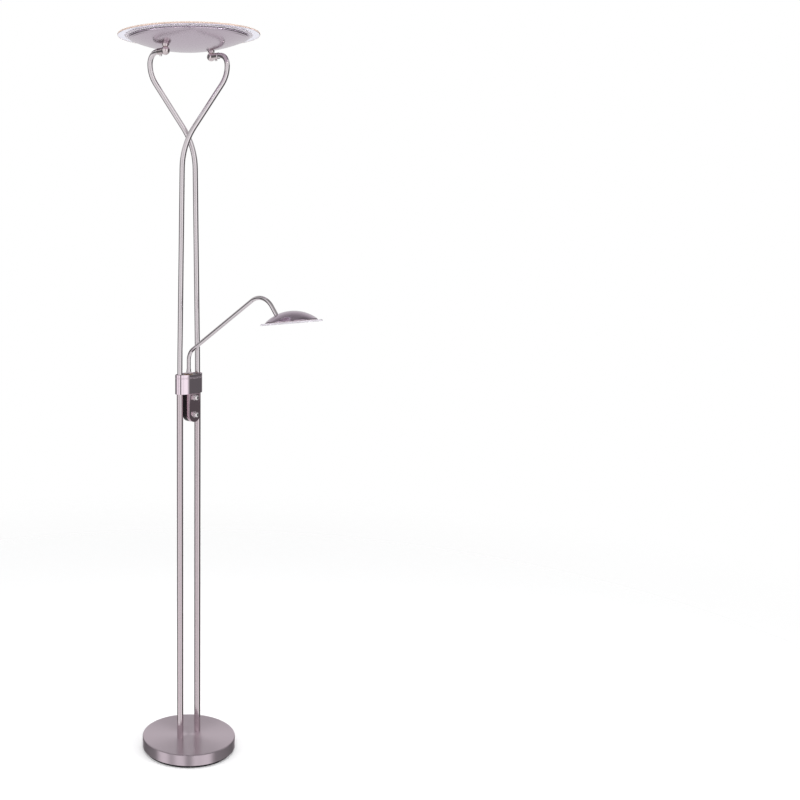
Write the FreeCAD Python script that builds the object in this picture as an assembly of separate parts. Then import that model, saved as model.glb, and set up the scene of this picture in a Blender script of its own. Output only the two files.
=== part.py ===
import FreeCAD, Part
import math
import os

V = FreeCAD.Vector

# Driving dimensions of the torchiere lamp, in millimetres.
# +Z is up, -Y is the front, and the origin is the middle of the base on the floor.
# The two tubes stand on the X axis, and the uplighter tilts about the X direction.
overall_height = 1800.0
running_gap = 0.05          # radial play of a turning fit
seat_gap = 0.03             # radial play of a fixed fit
body_gap = 0.35             # air between pieces that move past each other
over = 1.0                  # how far a cutting shape reaches past the material

# Base
base_radius = 120.0
base_top = 35.5
cover_wall = 1.5
cover_edge_radius = 3.0
cover_lift = 8.0            # height of the cover's lower edge above the floor
foot_height = 9.5
foot_inset = 7.0
foot_pocket_gap = 0.5
plate_thickness = 1.5
weight_side_gap = 0.5
weight_screw_circle = 85.0
weight_screw_count = 4
weight_screw_radius = 2.0
weight_screw_length = 12.0
weight_screw_head_radius = 4.0
weight_screw_head_height = 1.5
gland_radius = 5.0
gland_flange_radius = 6.5
gland_flange_thickness = 2.0
gland_bore_radius = 3.4
gland_length = 14.0
gland_z = 20.0
cord_channel_clearance = 1.0

# Column
tube_spread = 30.0          # distance of each tube from the lamp's axis
lower_tube_radius = 8.0
upper_tube_radius = 6.5
upper_tube_wall = 1.0
tube_seat_z = 22.0
stud_radius = 5.0
stud_bore_radius = 3.0
stud_plug_length = 30.0
stud_end_gap = 0.5          # air between a stud's end and the base plate
washer_radius = 10.5
washer_thickness = 1.5
nut_flats = 17.0
nut_height = 6.0
nut_recess_radius = 12.0
nut_recess_depth = 8.0
tube_overlap = 26.0         # how far an upper tube reaches into its lower tube

# Crossing upper tubes
knuckle_x = 75.0
hook_out = 55.5
draw_in = 7.0               # sideways lean of an upper tube below the crossing
cross_slope = 34.0          # degrees from upright
lean_bend_radius = 4000.0
cross_bend_radius = 180.0
shoulder_bend_radius = 80.0
hook_bend_radius = 25.0
hook_straight = 2.0
lean_start = 30.0           # height above the clamp band where the lean starts

# Clamp band and control box
band_bottom = 932.0
band_height = 48.0
band_half_width = 42.0
band_half_depth = 21.0
band_wall = 1.5
core_recess = 2.0
core_step_below_top = 12.0  # how far below the core's top a lower tube ends
clamp_screw_x = 15.0
clamp_screw_radius = 2.5
clamp_screw_head_radius = 4.0
clamp_screw_head_height = 3.5
clamp_screw_stand_out = 1.0
clamp_screw_length = 10.0
clamp_socket_flats = 4.0
clamp_socket_depth = 2.0
box_half_width = 19.0
box_front_y = -22.0
cover_depth = 10.0
box_depth = 14.0
box_wall = 1.6
knob_spacing = 43.0
box_screw_radius = 1.5
box_screw_length = 10.0
box_screw_head_radius = 2.8
box_screw_head_height = 2.0
box_screw_x = 11.0

# Dimmers
knob_radius = 6.0
knob_length = 10.0
knob_edge = 1.0
knob_skirt_depth = 3.0
knob_skirt_wall = 0.8
knob_stand_off = 0.5
knob_face_thickness = 2.0   # metal in front of the shaft's end
pointer_width = 0.9
pointer_depth = 0.5
pointer_start = 1.0         # from the knob's axis to the slot's inner end
shaft_radius = 3.0
shaft_flat = 2.2
dimmer_size = 14.0
dimmer_top_gap = 0.4
dimmer_depth = 11.0
dimmer_bush_radius = 3.8
dimmer_bush_length = 4.0
dimmer_nut_flats = 8.6
dimmer_nut_height = 1.6
shaft_blind = 2.0           # how far a shaft reaches into its dimmer

# Reading arm
arm_radius = 5.0
arm_wall = 1.0
arm_riser = 54.5            # from the clamp core's top to the corner of the first bend
arm_slope = 33.0            # degrees above level
arm_reach = 252.0           # from the lamp's axis to the corner of the top bend
arm_drop_angle = 52.3       # degrees below level
arm_drop = 67.4             # from that corner to the end of the tube
arm_foot_bend_radius = 35.0
arm_top_bend_radius = 47.0
arm_bush_wall = 2.0
arm_bush_flange = 4.0
arm_bush_flange_thickness = 1.5
arm_collar_radius = 8.0
arm_collar_height = 12.0
arm_collar_rim = 2.0        # height of the upright part below the flare
arm_collar_neck_wall = 0.8
arm_collar_hollow = 0.55    # how far the flare stands out from the neck in the middle
arm_collar_hollow_height = 5.4
arm_retainer_thickness = 2.0
arm_bottom_margin = 5.0     # from the core's underside up to the end of the arm

# Reading head, in its own frame: glass centre at the origin, light shining down
head_glass_radius = 70.0
head_glass_thickness = 4.0
head_dome_radius = 58.2
head_lip = 3.0
head_dome_height = 21.5
head_wall = 1.2
head_glass_edge = 1.2
head_rest_tilt = 7.0        # degrees, outer end up
ball_offset = 40.0          # from the head's centre to the ball
ball_depth = 4.4            # from the dome's outside down to the ball's centre
ball_radius = 8.0
ball_hole_radius = 7.6
spigot_length = 16.0
socket_radius = 11.0
socket_bottom_gap = 2.0
sink_radius = 27.0
sink_plate = 3.0
fin_count = 5
fin_thickness = 1.2
fin_height = 5.0
reading_board_radius = 24.0
reading_led_circle = 14.0
reading_led_count = 6
board_thickness = 1.6
head_post_radius = 3.0
head_post_circle = 44.0
head_post_angles = (-90.0, 20.0, 160.0)
led_radius = 2.0
led_height = 0.8

# Uplighter
glass_radius = 171.0
glass_thickness = 4.0
glass_edge = 1.2
gasket_thickness = 0.8
dish_radius = 144.5
dish_lip = 5.2
dish_depth = 29.0
dish_wall = 1.2
spreader_radius = 112.0
spreader_thickness = 2.5
spreader_below_glass = 13.0
uplight_board_radius = 96.0
board_led_circles = (30.0, 55.0, 80.0)
board_led_pitch = 31.0      # along each circle
post_radius = 3.0
post_circle = 104.0
post_count = 3
driver_length = 96.0
driver_width = 40.0
driver_height = 13.0

# Knuckles
knuckle_radius = 10.5
knuckle_drop = 13.8         # from the dish's outside down to the ball's centre
ring_radius = 8.6
ring_start = 10.0
ring_height = 2.4
neck_radius = 6.0
boss_radius = 8.0
collar_radius = 7.8
collar_length = 25.0        # from the ball's centre to the collar's mouth
tube_stop = 13.0            # from the ball's centre to the tube's end
friction_disc_radius = 7.5
friction_disc_thickness = 0.6
pivot_radius = 2.5
pivot_head_radius = 4.0
pivot_head_height = 2.5
pivot_head_recess = 2.5     # from the ball's side to the top of the screw's head
pivot_slot_width = 1.0
pivot_slot_depth = 0.5
pivot_reach = 7.0           # how far the pivot screw goes into the tube's half
wire_bore_radius = 2.0
wire_bore_start = 9.0       # from the ball's centre
set_screw_offset = 17.0
set_screw_radius = 2.0
set_screw_head_radius = 3.1
set_screw_head_height = 3.2
set_screw_neck = 0.4        # air between the collar and the screw's head
set_screw_edge = 0.9
neck_stud_radius = 5.0
neck_stud_length = 11.0
neck_nut_flats = 14.0
neck_nut_height = 4.0
wedge_washer_radius = 9.0
wedge_washer_thickness = 2.6

# Places that follow from the sizes above
band_top = band_bottom + band_height
core_top = band_top - core_recess
lower_tube_top = core_top - core_step_below_top
lower_tube_bore = upper_tube_radius + seat_gap
upper_tube_start = lower_tube_top - tube_overlap
arm_corner_height = core_top + arm_riser
glass_bottom = overall_height - glass_thickness
dish_rim_z = glass_bottom - gasket_thickness
dish_lip_z = dish_rim_z - dish_lip
dish_bottom = dish_lip_z - dish_depth
weight_bottom = foot_height + plate_thickness
weight_top = base_top - cover_wall


def dish_sphere_radius():
    """Radius of the sphere that the outside of the dish is part of."""
    return (dish_radius ** 2 + dish_depth ** 2) / (2 * dish_depth)


def dish_outside_z(distance):
    """Height of the dish's outside at a distance from the axis."""
    radius = dish_sphere_radius()
    return dish_bottom + radius - math.sqrt(radius ** 2 - distance ** 2)


knuckle_z = dish_outside_z(knuckle_x) - knuckle_drop


# Helpers

def cylinder(radius, start, direction, length):
    """A solid cylinder from a point along a direction."""
    return Part.makeCylinder(radius, length, start, direction)


def upright(radius, z_low, z_high, x=0.0, y=0.0):
    """An upright cylinder between two heights."""
    return cylinder(radius, V(x, y, z_low), V(0, 0, 1), z_high - z_low)


def ring(outer, inner, z_low, z_high, x=0.0, y=0.0):
    """An upright ring between two heights."""
    return upright(outer, z_low, z_high, x, y).cut(upright(inner, z_low - over, z_high + over, x, y))


def revolve(edges):
    """A solid turned about the Z axis from a closed outline in the XZ plane."""
    face = Part.Face(Part.Wire(edges))
    return face.revolve(V(0, 0, 0), V(0, 0, 1), 360)


def line(start, end):
    """A straight edge."""
    return Part.LineSegment(start, end).toShape()


def polyline(points):
    """Straight edges through points, closed back to the first."""
    return [line(a, b) for a, b in zip(points, points[1:] + points[:1])]


def arc(start, middle, end):
    """A circular arc through three points."""
    return Part.Arc(start, middle, end).toShape()


def hex_prism(flats, start, direction, height):
    """A hexagonal prism, given by its width across flats."""
    corner = flats / math.sqrt(3)
    angles = [math.radians(60 * i) for i in range(6)]
    points = [V(corner * math.cos(a), corner * math.sin(a), 0) for a in angles]
    prism = Part.Face(Part.Wire(polyline(points))).extrude(V(0, 0, height))
    prism.Placement = FreeCAD.Placement(start, FreeCAD.Rotation(V(0, 0, 1), direction))
    return prism


def rounded_path(points, radii):
    """A wire through points whose inner corners are rounded by the given radii."""
    edges = []
    last = points[0]
    for before, corner, after, radius in zip(points, points[1:], points[2:], radii):
        back = (before - corner).normalize()
        ahead = (after - corner).normalize()
        half = back.getAngle(ahead) / 2
        reach = radius / math.tan(half)
        middle = corner + (back + ahead).normalize() * (radius / math.sin(half) - radius)
        start, end = corner + back * reach, corner + ahead * reach
        edges += [line(last, start), arc(start, middle, end)]
        last = end
    edges.append(line(last, points[-1]))
    return Part.Wire(edges)


def swept(path, radius):
    """A round bar that follows a wire."""
    first = path.Edges[0]
    start = first.FirstParameter
    circle = Part.Circle(first.valueAt(start), first.tangentAt(start), radius)
    return path.makePipeShell([Part.Wire(circle.toShape())], True, False)


def pipe(path, radius, wall):
    """A tube that follows a wire."""
    return swept(path, radius).cut(swept(path, radius - wall))


def turned(shape):
    """The shape turned half a turn about the lamp's axis."""
    other = shape.copy()
    other.rotate(V(0, 0, 0), V(0, 0, 1), 180)
    return other


def both_sides(shape):
    """A shape and the same shape turned half a turn about the lamp's axis."""
    return Part.makeCompound([shape, turned(shape)])


def edges_at(shape, direction, distance):
    """Edges that lie in a plane, given by the direction it faces and its distance from the origin."""
    def lies_there(edge):
        ends = [edge.valueAt(p).dot(direction) for p in edge.ParameterRange]
        return max(abs(end - distance) for end in ends) < seat_gap
    return [edge for edge in shape.Edges if lies_there(edge)]


def soft_disc(radius, z_low, z_high, edge_radius):
    """An upright disc with rounded edges."""
    disc = upright(radius, z_low, z_high)
    up = V(0, 0, 1)
    return disc.makeFillet(edge_radius, edges_at(disc, up, z_low) + edges_at(disc, up, z_high))


def save(name, shape):
    """Write one node."""
    shape.exportStep("parts/" + name + ".step")


# Base

def weight_screw_places():
    """Centres of the screws under the base."""
    step = 360.0 / weight_screw_count
    angles = [math.radians(step * (i + 0.5)) for i in range(weight_screw_count)]
    return [(weight_screw_circle * math.cos(a), weight_screw_circle * math.sin(a)) for a in angles]


def base_cover():
    """Pressed steel cover with a rounded top edge and holes for the tubes and the gland."""
    shell = upright(base_radius, cover_lift, base_top)
    shell = shell.makeFillet(cover_edge_radius, edges_at(shell, V(0, 0, 1), base_top))
    shell = shell.cut(upright(base_radius - cover_wall, cover_lift - over, weight_top))
    for x in (-tube_spread, tube_spread):
        shell = shell.cut(upright(lower_tube_radius + seat_gap, weight_top - over, base_top + over, x))
    inside = V(0, base_radius - cover_wall - over, gland_z)
    return shell.cut(cylinder(gland_radius + seat_gap, inside, V(0, 1, 0), cover_wall + 2 * over))


def counterweight():
    """Cast disc with seats for the tubes, recesses for their nuts and a channel for the mains lead."""
    body = upright(base_radius - cover_wall - weight_side_gap, weight_bottom, weight_top)
    recess_top = weight_bottom + nut_recess_depth
    for x in (-tube_spread, tube_spread):
        body = body.cut(upright(lower_tube_radius + seat_gap, tube_seat_z, weight_top + over, x))
        body = body.cut(upright(stud_radius + seat_gap, weight_bottom - over, tube_seat_z + over, x))
        body = body.cut(upright(nut_recess_radius, weight_bottom - over, recess_top, x))
    half_channel = gland_flange_radius + cord_channel_clearance
    channel = Part.makeBox(2 * half_channel, base_radius, gland_z + half_channel - weight_bottom + over,
                           V(-half_channel, 0, weight_bottom - over))
    cross = Part.makeBox(2 * tube_spread, 2 * half_channel, nut_recess_depth + over,
                         V(-tube_spread, 0, weight_bottom - over))
    body = body.cut(channel).cut(cross)
    for x, y in weight_screw_places():
        body = body.cut(upright(weight_screw_radius + seat_gap, weight_bottom - over,
                                weight_bottom + weight_screw_length + over, x, y))
    return body


def base_plate():
    """Flat steel disc that closes the base."""
    plate = upright(base_radius - cover_wall - weight_side_gap, foot_height, weight_bottom)
    hole_radius = weight_screw_radius + seat_gap
    for x, y in weight_screw_places():
        plate = plate.cut(upright(hole_radius, foot_height - over, weight_bottom + over, x, y))
    return plate


def foot_pad():
    """Soft disc that the lamp stands on, with pockets for the screws' heads."""
    pad = upright(base_radius - foot_inset, 0, foot_height)
    pocket_radius = weight_screw_head_radius + foot_pocket_gap
    pocket_floor = foot_height - weight_screw_head_height - foot_pocket_gap
    for x, y in weight_screw_places():
        pad = pad.cut(upright(pocket_radius, pocket_floor, foot_height + over, x, y))
    return pad


def base_plate_screws():
    """Pan head screws that hold the plate to the counterweight."""
    screws = []
    for x, y in weight_screw_places():
        head = upright(weight_screw_head_radius, foot_height - weight_screw_head_height, foot_height, x, y)
        stem = upright(weight_screw_radius, foot_height, weight_bottom + weight_screw_length, x, y)
        screws.append(head.fuse(stem).removeSplitter())
    return Part.makeCompound(screws)


def tube_studs():
    """Hollow studs that plug the tubes' lower ends and pass through the counterweight."""
    low = weight_bottom + stud_end_gap
    high = tube_seat_z + stud_plug_length
    plug = upright(lower_tube_bore - seat_gap, tube_seat_z, high, tube_spread)
    stem = upright(stud_radius, low, tube_seat_z + over, tube_spread)
    bore = upright(stud_bore_radius, low - over, high + over, tube_spread)
    return both_sides(plug.fuse(stem).removeSplitter().cut(bore))


def stud_washers():
    """Washers under the counterweight's web."""
    top = weight_bottom + nut_recess_depth
    return both_sides(ring(washer_radius, stud_radius + seat_gap, top - washer_thickness, top, tube_spread))


def stud_nuts():
    """Hexagonal nuts on the tube studs."""
    top = weight_bottom + nut_recess_depth - washer_thickness
    nut = hex_prism(nut_flats, V(tube_spread, 0, top - nut_height), V(0, 0, 1), nut_height)
    bore = upright(stud_radius + seat_gap, top - nut_height - over, top + over, tube_spread)
    return both_sides(nut.cut(bore))


def mains_gland():
    """Grommet in the rear of the cover where a lead would enter."""
    rearward = V(0, 1, 0)
    end = base_radius + gland_flange_thickness
    body = cylinder(gland_radius, V(0, end - gland_length, gland_z), rearward, gland_length)
    inside = base_radius - cover_wall
    flange_start = V(0, inside - gland_flange_thickness, gland_z)
    flange = cylinder(gland_flange_radius, flange_start, rearward, gland_flange_thickness)
    body = body.fuse(flange.common(upright(inside - seat_gap, 0, base_top))).removeSplitter()
    return body.cut(cylinder(gland_bore_radius, V(0, 0, gland_z), rearward, end + over))


# Column

def lower_tube():
    """Right-hand lower tube."""
    return ring(lower_tube_radius, lower_tube_bore, tube_seat_z, lower_tube_top, tube_spread)


def upper_tube_path():
    """Centre line of the tube from the left foot, past the front, to the right knuckle."""
    foot = V(-tube_spread, 0, 0)
    across = V(knuckle_x, -hook_out, 0) - foot
    heading = V(across).normalize()
    hook_top = knuckle_z
    shoulder_reach = shoulder_bend_radius * math.tan(math.radians(cross_slope / 2))
    shoulder_z = hook_top - hook_bend_radius - hook_straight - shoulder_reach
    bend_z = shoulder_z - (across.Length - draw_in) / math.tan(math.radians(cross_slope))
    points = [
        foot + V(0, 0, upper_tube_start),
        foot + V(0, 0, band_top + lean_start),
        foot + heading * draw_in + V(0, 0, bend_z),
        foot + across + V(0, 0, shoulder_z),
        foot + across + V(0, 0, hook_top),
        V(knuckle_x, -tube_stop, hook_top),
    ]
    radii = [lean_bend_radius, cross_bend_radius, shoulder_bend_radius, hook_bend_radius]
    return rounded_path(points, radii)


def upper_tube():
    """Tube that crosses in front."""
    return pipe(upper_tube_path(), upper_tube_radius, upper_tube_wall)


# Clamp band and control box

def oval(half_width, half_depth, z_low, z_high):
    """An upright solid with an oval section."""
    wire = Part.Wire(Part.Ellipse(V(0, 0, z_low), half_width, half_depth).toShape())
    return Part.Face(wire).extrude(V(0, 0, z_high - z_low))


def clamp_screw_line():
    """Axis of the right-hand clamp screw: a point on the band's rear and the inward direction."""
    share = clamp_screw_x / band_half_width
    y = band_half_depth * math.sqrt(1 - share ** 2)
    return V(clamp_screw_x, y, (band_bottom + band_top) / 2), V(0, -1, 0)


def clamp_band():
    """Oval polished collar."""
    band = oval(band_half_width, band_half_depth, band_bottom, band_top)
    inner_width, inner_depth = band_half_width - band_wall, band_half_depth - band_wall
    band = band.cut(oval(inner_width, inner_depth, band_bottom - over, band_top + over))
    start, inward = clamp_screw_line()
    for side in (-1, 1):
        outside = V(side * start.x, start.y, start.z) - inward * clamp_screw_head_radius
        band = band.cut(cylinder(clamp_screw_head_radius + seat_gap, outside, inward, clamp_screw_length))
    return band


def clamp_core():
    """Cast block inside the band that holds the tubes and the arm's bush."""
    wall = band_wall + seat_gap
    core = oval(band_half_width - wall, band_half_depth - wall, band_bottom, core_top)
    for x in (-tube_spread, tube_spread):
        core = core.cut(upright(lower_tube_radius + seat_gap, band_bottom - over, lower_tube_top, x))
        core = core.cut(upright(upper_tube_radius + seat_gap, band_bottom - over, core_top + over, x))
    core = core.cut(upright(arm_bush_radius() + seat_gap, band_bottom - over, core_top + over))
    start, inward = clamp_screw_line()
    for side in (-1, 1):
        seat = V(side * start.x, start.y, start.z) + inward * clamp_seat_depth()
        core = core.cut(cylinder(clamp_screw_head_radius + seat_gap, seat, inward * -1, band_half_depth))
        core = core.cut(cylinder(clamp_screw_radius + seat_gap, seat, inward, clamp_screw_length + over))
    screw_end = band_bottom - box_wall + box_screw_length
    for x in (-box_screw_x, box_screw_x):
        core = core.cut(upright(box_screw_radius + seat_gap, band_bottom - over, screw_end, x, box_screw_y()))
    return core


def clamp_seat_depth():
    """Depth of the clamp screw's seat below the band's outside."""
    return clamp_screw_head_height - clamp_screw_stand_out


def clamp_screws():
    """Socket head screws in the rear of the band."""
    start, inward = clamp_screw_line()
    seat = start + inward * clamp_seat_depth()
    head = cylinder(clamp_screw_head_radius, seat, inward * -1, clamp_screw_head_height)
    stem = cylinder(clamp_screw_radius, seat, inward, clamp_screw_length)
    floor = seat - inward * (clamp_screw_head_height - clamp_socket_depth)
    socket = hex_prism(clamp_socket_flats, floor, inward * -1, clamp_socket_depth + over)
    screw = head.fuse(stem).removeSplitter().cut(socket)
    return Part.makeCompound([screw, screw.mirror(V(0, 0, 0), V(1, 0, 0))])


def box_screw_y():
    """Place of the box screws from front to rear."""
    return box_front_y + cover_depth + box_depth / 2


def lower_knob_z():
    """Height of the lower knob."""
    return upper_knob_z() - knob_spacing


def upper_knob_z():
    """Height of the upper knob, whose dimmer fits under the box's top wall."""
    return band_bottom - box_wall - dimmer_top_gap - dimmer_size / 2


def box_outline(inset, y, top):
    """Face of the control box outline: straight sides and a round lower end."""
    half = box_half_width - inset
    low = lower_knob_z()
    left, right = V(-half, y, low), V(half, y, low)
    edges = [line(right, V(half, y, top)), line(V(half, y, top), V(-half, y, top)),
             line(V(-half, y, top), left), arc(left, V(0, y, low - half), right)]
    return Part.Face(Part.Wire(edges))


def control_cover():
    """Metal cover with the knob holes."""
    cover = box_outline(0, box_front_y, band_bottom).extrude(V(0, cover_depth, 0))
    inside = box_outline(box_wall, box_front_y + box_wall, band_bottom - box_wall)
    cover = cover.cut(inside.extrude(V(0, cover_depth, 0)))
    for z in (upper_knob_z(), lower_knob_z()):
        front = V(0, box_front_y - over, z)
        cover = cover.cut(cylinder(dimmer_bush_radius + seat_gap, front, V(0, 1, 0), box_wall + 2 * over))
    return cover


def control_box():
    """Black housing behind the cover."""
    start = box_front_y + cover_depth
    box = box_outline(0, start, band_bottom).extrude(V(0, box_depth, 0))
    seat = band_bottom - box_wall
    inside = box_outline(box_wall, start - over, seat)
    box = box.cut(inside.extrude(V(0, box_depth + over - box_wall, 0)))
    for x in (-box_screw_x, box_screw_x):
        hole = upright(box_screw_radius + seat_gap, seat - over, band_bottom + over, x, box_screw_y())
        box = box.cut(hole)
    return box


def box_screws():
    """Screws that hang the control box from the clamp core."""
    screws = []
    seat = band_bottom - box_wall
    for x in (-box_screw_x, box_screw_x):
        head = upright(box_screw_head_radius, seat - box_screw_head_height, seat, x, box_screw_y())
        stem = upright(box_screw_radius, seat, seat + box_screw_length, x, box_screw_y())
        screws.append(head.fuse(stem).removeSplitter())
    return Part.makeCompound(screws)


# Dimmers

def dimmer(z):
    """Dimmer module with a threaded bush that passes through the cover."""
    face = box_front_y + box_wall
    half = dimmer_size / 2
    forward = V(0, -1, 0)
    body = Part.makeBox(dimmer_size, dimmer_depth, dimmer_size, V(-half, face, z - half))
    bush = cylinder(dimmer_bush_radius, V(0, face, z), forward, dimmer_bush_length)
    bore_length = shaft_blind + dimmer_bush_length + over
    bore = cylinder(shaft_radius + running_gap, V(0, face + shaft_blind, z), forward, bore_length)
    return body.fuse(bush).cut(bore)


def dimmer_nuts():
    """Flat nuts on the dimmers' bushes, hidden by the knobs' skirts."""
    nuts = []
    bore_radius = dimmer_bush_radius + seat_gap
    for z in (upper_knob_z(), lower_knob_z()):
        front = V(0, box_front_y - dimmer_nut_height, z)
        nut = hex_prism(dimmer_nut_flats, front, V(0, 1, 0), dimmer_nut_height)
        bore_length = dimmer_nut_height + 2 * over
        nuts.append(nut.cut(cylinder(bore_radius, front - V(0, over, 0), V(0, 1, 0), bore_length)))
    return Part.makeCompound(nuts)


def shaft(z, gap=0.0):
    """Turning shaft with a flat."""
    knob_start = box_front_y - knob_stand_off
    end = knob_start - knob_length + knob_face_thickness
    start = box_front_y + box_wall + shaft_blind - running_gap
    bar = cylinder(shaft_radius + gap, V(0, start, z), V(0, -1, 0), start - end)
    flat_length = knob_start - knob_skirt_depth - end
    side = 4 * shaft_radius
    flat = Part.makeBox(side, flat_length + over, side, V(-side / 2, end - over, z + shaft_flat + gap))
    return bar.cut(flat)


def knob(z):
    """Chrome knob with a hollow skirt, a flatted bore and a pointer slot."""
    start = box_front_y - knob_stand_off
    forward = V(0, -1, 0)
    body = cylinder(knob_radius, V(0, start, z), forward, knob_length)
    front = start - knob_length
    body = body.makeFillet(knob_edge, edges_at(body, V(0, 1, 0), front))
    skirt = cylinder(knob_radius - knob_skirt_wall, V(0, start + over, z), forward, knob_skirt_depth + over)
    slot = Part.makeBox(pointer_width, pointer_depth + over, knob_radius,
                        V(-pointer_width / 2, front - over, z + pointer_start))
    return body.cut(skirt).cut(slot).cut(shaft(z, seat_gap))


# Reading arm

def arm_bush_radius():
    """Outer radius of the bush that the arm turns in."""
    return arm_radius + running_gap + arm_bush_wall


def arm_drop_direction():
    """Direction of the arm's last stretch, outwards and down."""
    angle = math.radians(arm_drop_angle)
    return V(0, -math.cos(angle), -math.sin(angle))


def arm_end():
    """End of the arm's tube."""
    rise = arm_reach * math.tan(math.radians(arm_slope))
    return V(0, -arm_reach, arm_corner_height + rise) + arm_drop_direction() * arm_drop


def ball_centre():
    """Centre of the head's ball, just past the end of the arm."""
    return arm_end() + arm_drop_direction() * (ball_radius - body_gap)


def arm_tube():
    """Bent tube of the reading arm."""
    rise = arm_reach * math.tan(math.radians(arm_slope))
    points = [V(0, 0, band_bottom + arm_bottom_margin), V(0, 0, arm_corner_height),
              V(0, -arm_reach, arm_corner_height + rise), arm_end()]
    path = rounded_path(points, [arm_foot_bend_radius, arm_top_bend_radius])
    return pipe(path, arm_radius, arm_wall)


def arm_bush():
    """Flanged bush in the clamp core."""
    low = band_bottom + arm_bottom_margin + arm_retainer_thickness + 2 * body_gap
    bush = upright(arm_bush_radius(), low, core_top)
    flange = upright(arm_bush_radius() + arm_bush_flange, core_top, core_top + arm_bush_flange_thickness)
    bore = upright(arm_radius + running_gap, low - over, core_top + arm_bush_flange_thickness + over)
    return bush.fuse(flange).removeSplitter().cut(bore)


def arm_collar():
    """Flared collar at the arm's foot."""
    low = core_top + arm_bush_flange_thickness + body_gap
    high = low + arm_collar_height
    bore = arm_radius + seat_gap
    neck = arm_radius + arm_collar_neck_wall
    inner_low, outer_low = V(bore, 0, low), V(arm_collar_radius, 0, low)
    rim = V(arm_collar_radius, 0, low + arm_collar_rim)
    middle = V(neck + arm_collar_hollow, 0, low + arm_collar_hollow_height)
    outer_high, inner_high = V(neck, 0, high), V(bore, 0, high)
    return revolve([line(inner_low, outer_low), line(outer_low, rim), arc(rim, middle, outer_high),
                    line(outer_high, inner_high), line(inner_high, inner_low)])


def arm_retainer():
    """Ring that keeps the arm in its bush."""
    low = band_bottom + arm_bottom_margin
    outer = arm_bush_radius() - body_gap
    return ring(outer, arm_radius + seat_gap, low, low + arm_retainer_thickness)


# Reading head, built in its own frame with the light shining down and the arm on the +Y side

def dome_sphere_radius():
    """Radius of the sphere that the outside of the dome is part of."""
    return (head_dome_radius ** 2 + head_dome_height ** 2) / (2 * head_dome_height)


def dome_height(distance, inset=0.0):
    """Height of the dome above the glass at a distance from the head's centre."""
    radius = dome_sphere_radius()
    return head_lip + head_dome_height - radius + math.sqrt((radius - inset) ** 2 - distance ** 2)


def dome_solid(inset, low=head_glass_thickness / 2):
    """Solid bounded by the dome's outside, or by its inside for a positive inset."""
    high = head_glass_thickness / 2 + head_lip + head_dome_height
    bowl = Part.makeSphere(dome_sphere_radius() - inset, V(0, 0, high - dome_sphere_radius()))
    return bowl.common(upright(head_dome_radius - inset, low, high))


def ball_place():
    """The ball's centre in the head's frame."""
    return V(0, ball_offset, head_glass_thickness / 2 + dome_height(ball_offset) - ball_depth)


def head_placement():
    """Placement that hangs the head on the arm's ball, with its outer end up."""
    rotation = FreeCAD.Rotation(V(1, 0, 0), -head_rest_tilt)
    return FreeCAD.Placement(ball_centre() - rotation.multVec(ball_place()), rotation)


def hole_direction():
    """Direction of the arm, from the ball outwards, in the head's frame."""
    return head_placement().Rotation.inverted().multVec(arm_drop_direction() * -1)


def reading_dome():
    """Spun dome with the ball's hole."""
    dome = dome_solid(0).cut(dome_solid(head_wall, 0))
    dome = dome.cut(Part.makeSphere(ball_radius + running_gap, ball_place()))
    return dome.cut(cylinder(ball_hole_radius, ball_place(), hole_direction(), 2 * head_dome_height))


def ball_socket():
    """Cup under the dome that clamps the ball."""
    direction = hole_direction()
    reach = 2 * head_dome_height
    body = cylinder(socket_radius, ball_place() - direction * reach, direction, 2 * reach)
    floor_z = head_glass_thickness / 2 + socket_bottom_gap
    cavity = dome_solid(head_wall).cut(upright(2 * head_dome_radius, 0, floor_z))
    body = body.common(cavity).cut(Part.makeSphere(ball_radius + running_gap, ball_place()))
    body = body.cut(cylinder(ball_hole_radius, ball_place(), direction, reach))
    return body.cut(cylinder(wire_bore_radius, ball_place(), direction * -1, reach))


def sink_top():
    """Height of the heat sink's upper side in the head's frame."""
    return head_glass_thickness / 2 + dome_height(sink_radius, head_wall)


def heat_sink():
    """Finned aluminium plate under the top of the dome."""
    high = sink_top()
    plate = upright(sink_radius, high - sink_plate - fin_height, high - fin_height)
    pitch = 2 * sink_radius / (fin_count + 1)
    root = high - fin_height - over
    for i in range(fin_count):
        x = -sink_radius + pitch * (i + 1) - fin_thickness / 2
        fin = Part.makeBox(fin_thickness, 2 * sink_radius, fin_height + over, V(x, -sink_radius, root))
        plate = plate.fuse(fin.common(upright(sink_radius, root, high)))
    return plate.removeSplitter()


def reading_board():
    """Round board with its light sources."""
    high = sink_top() - fin_height - sink_plate
    board = upright(reading_board_radius, high - board_thickness, high)
    low = high - board_thickness
    for i in range(reading_led_count):
        angle = 2 * math.pi * i / reading_led_count
        x, y = reading_led_circle * math.cos(angle), reading_led_circle * math.sin(angle)
        board = board.fuse(upright(led_radius, low - led_height, low, x, y))
    return board.removeSplitter()


def reading_glass():
    """Glass disc under the dome, with a softly rounded edge."""
    half = head_glass_thickness / 2
    return soft_disc(head_glass_radius, -half, half, head_glass_edge)


def head_posts():
    """Posts that carry the glass."""
    posts = []
    low = head_glass_thickness / 2
    for degrees in head_post_angles:
        x = head_post_circle * math.cos(math.radians(degrees))
        y = head_post_circle * math.sin(math.radians(degrees))
        posts.append(upright(head_post_radius, low, 2 * head_dome_height, x, y).common(dome_solid(head_wall)))
    return Part.makeCompound(posts)


def head_ball():
    """Ball with a spigot that turns in the end of the arm."""
    ball = Part.makeSphere(ball_radius, ball_centre())
    back = arm_drop_direction() * -1
    spigot = cylinder(arm_radius - arm_wall - running_gap, ball_centre(), back, ball_radius + spigot_length)
    front = ball_radius + over
    bore = cylinder(wire_bore_radius, ball_centre() - back * front, back, 2 * front + spigot_length)
    return ball.fuse(spigot).removeSplitter().cut(bore)


# Uplighter

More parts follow.
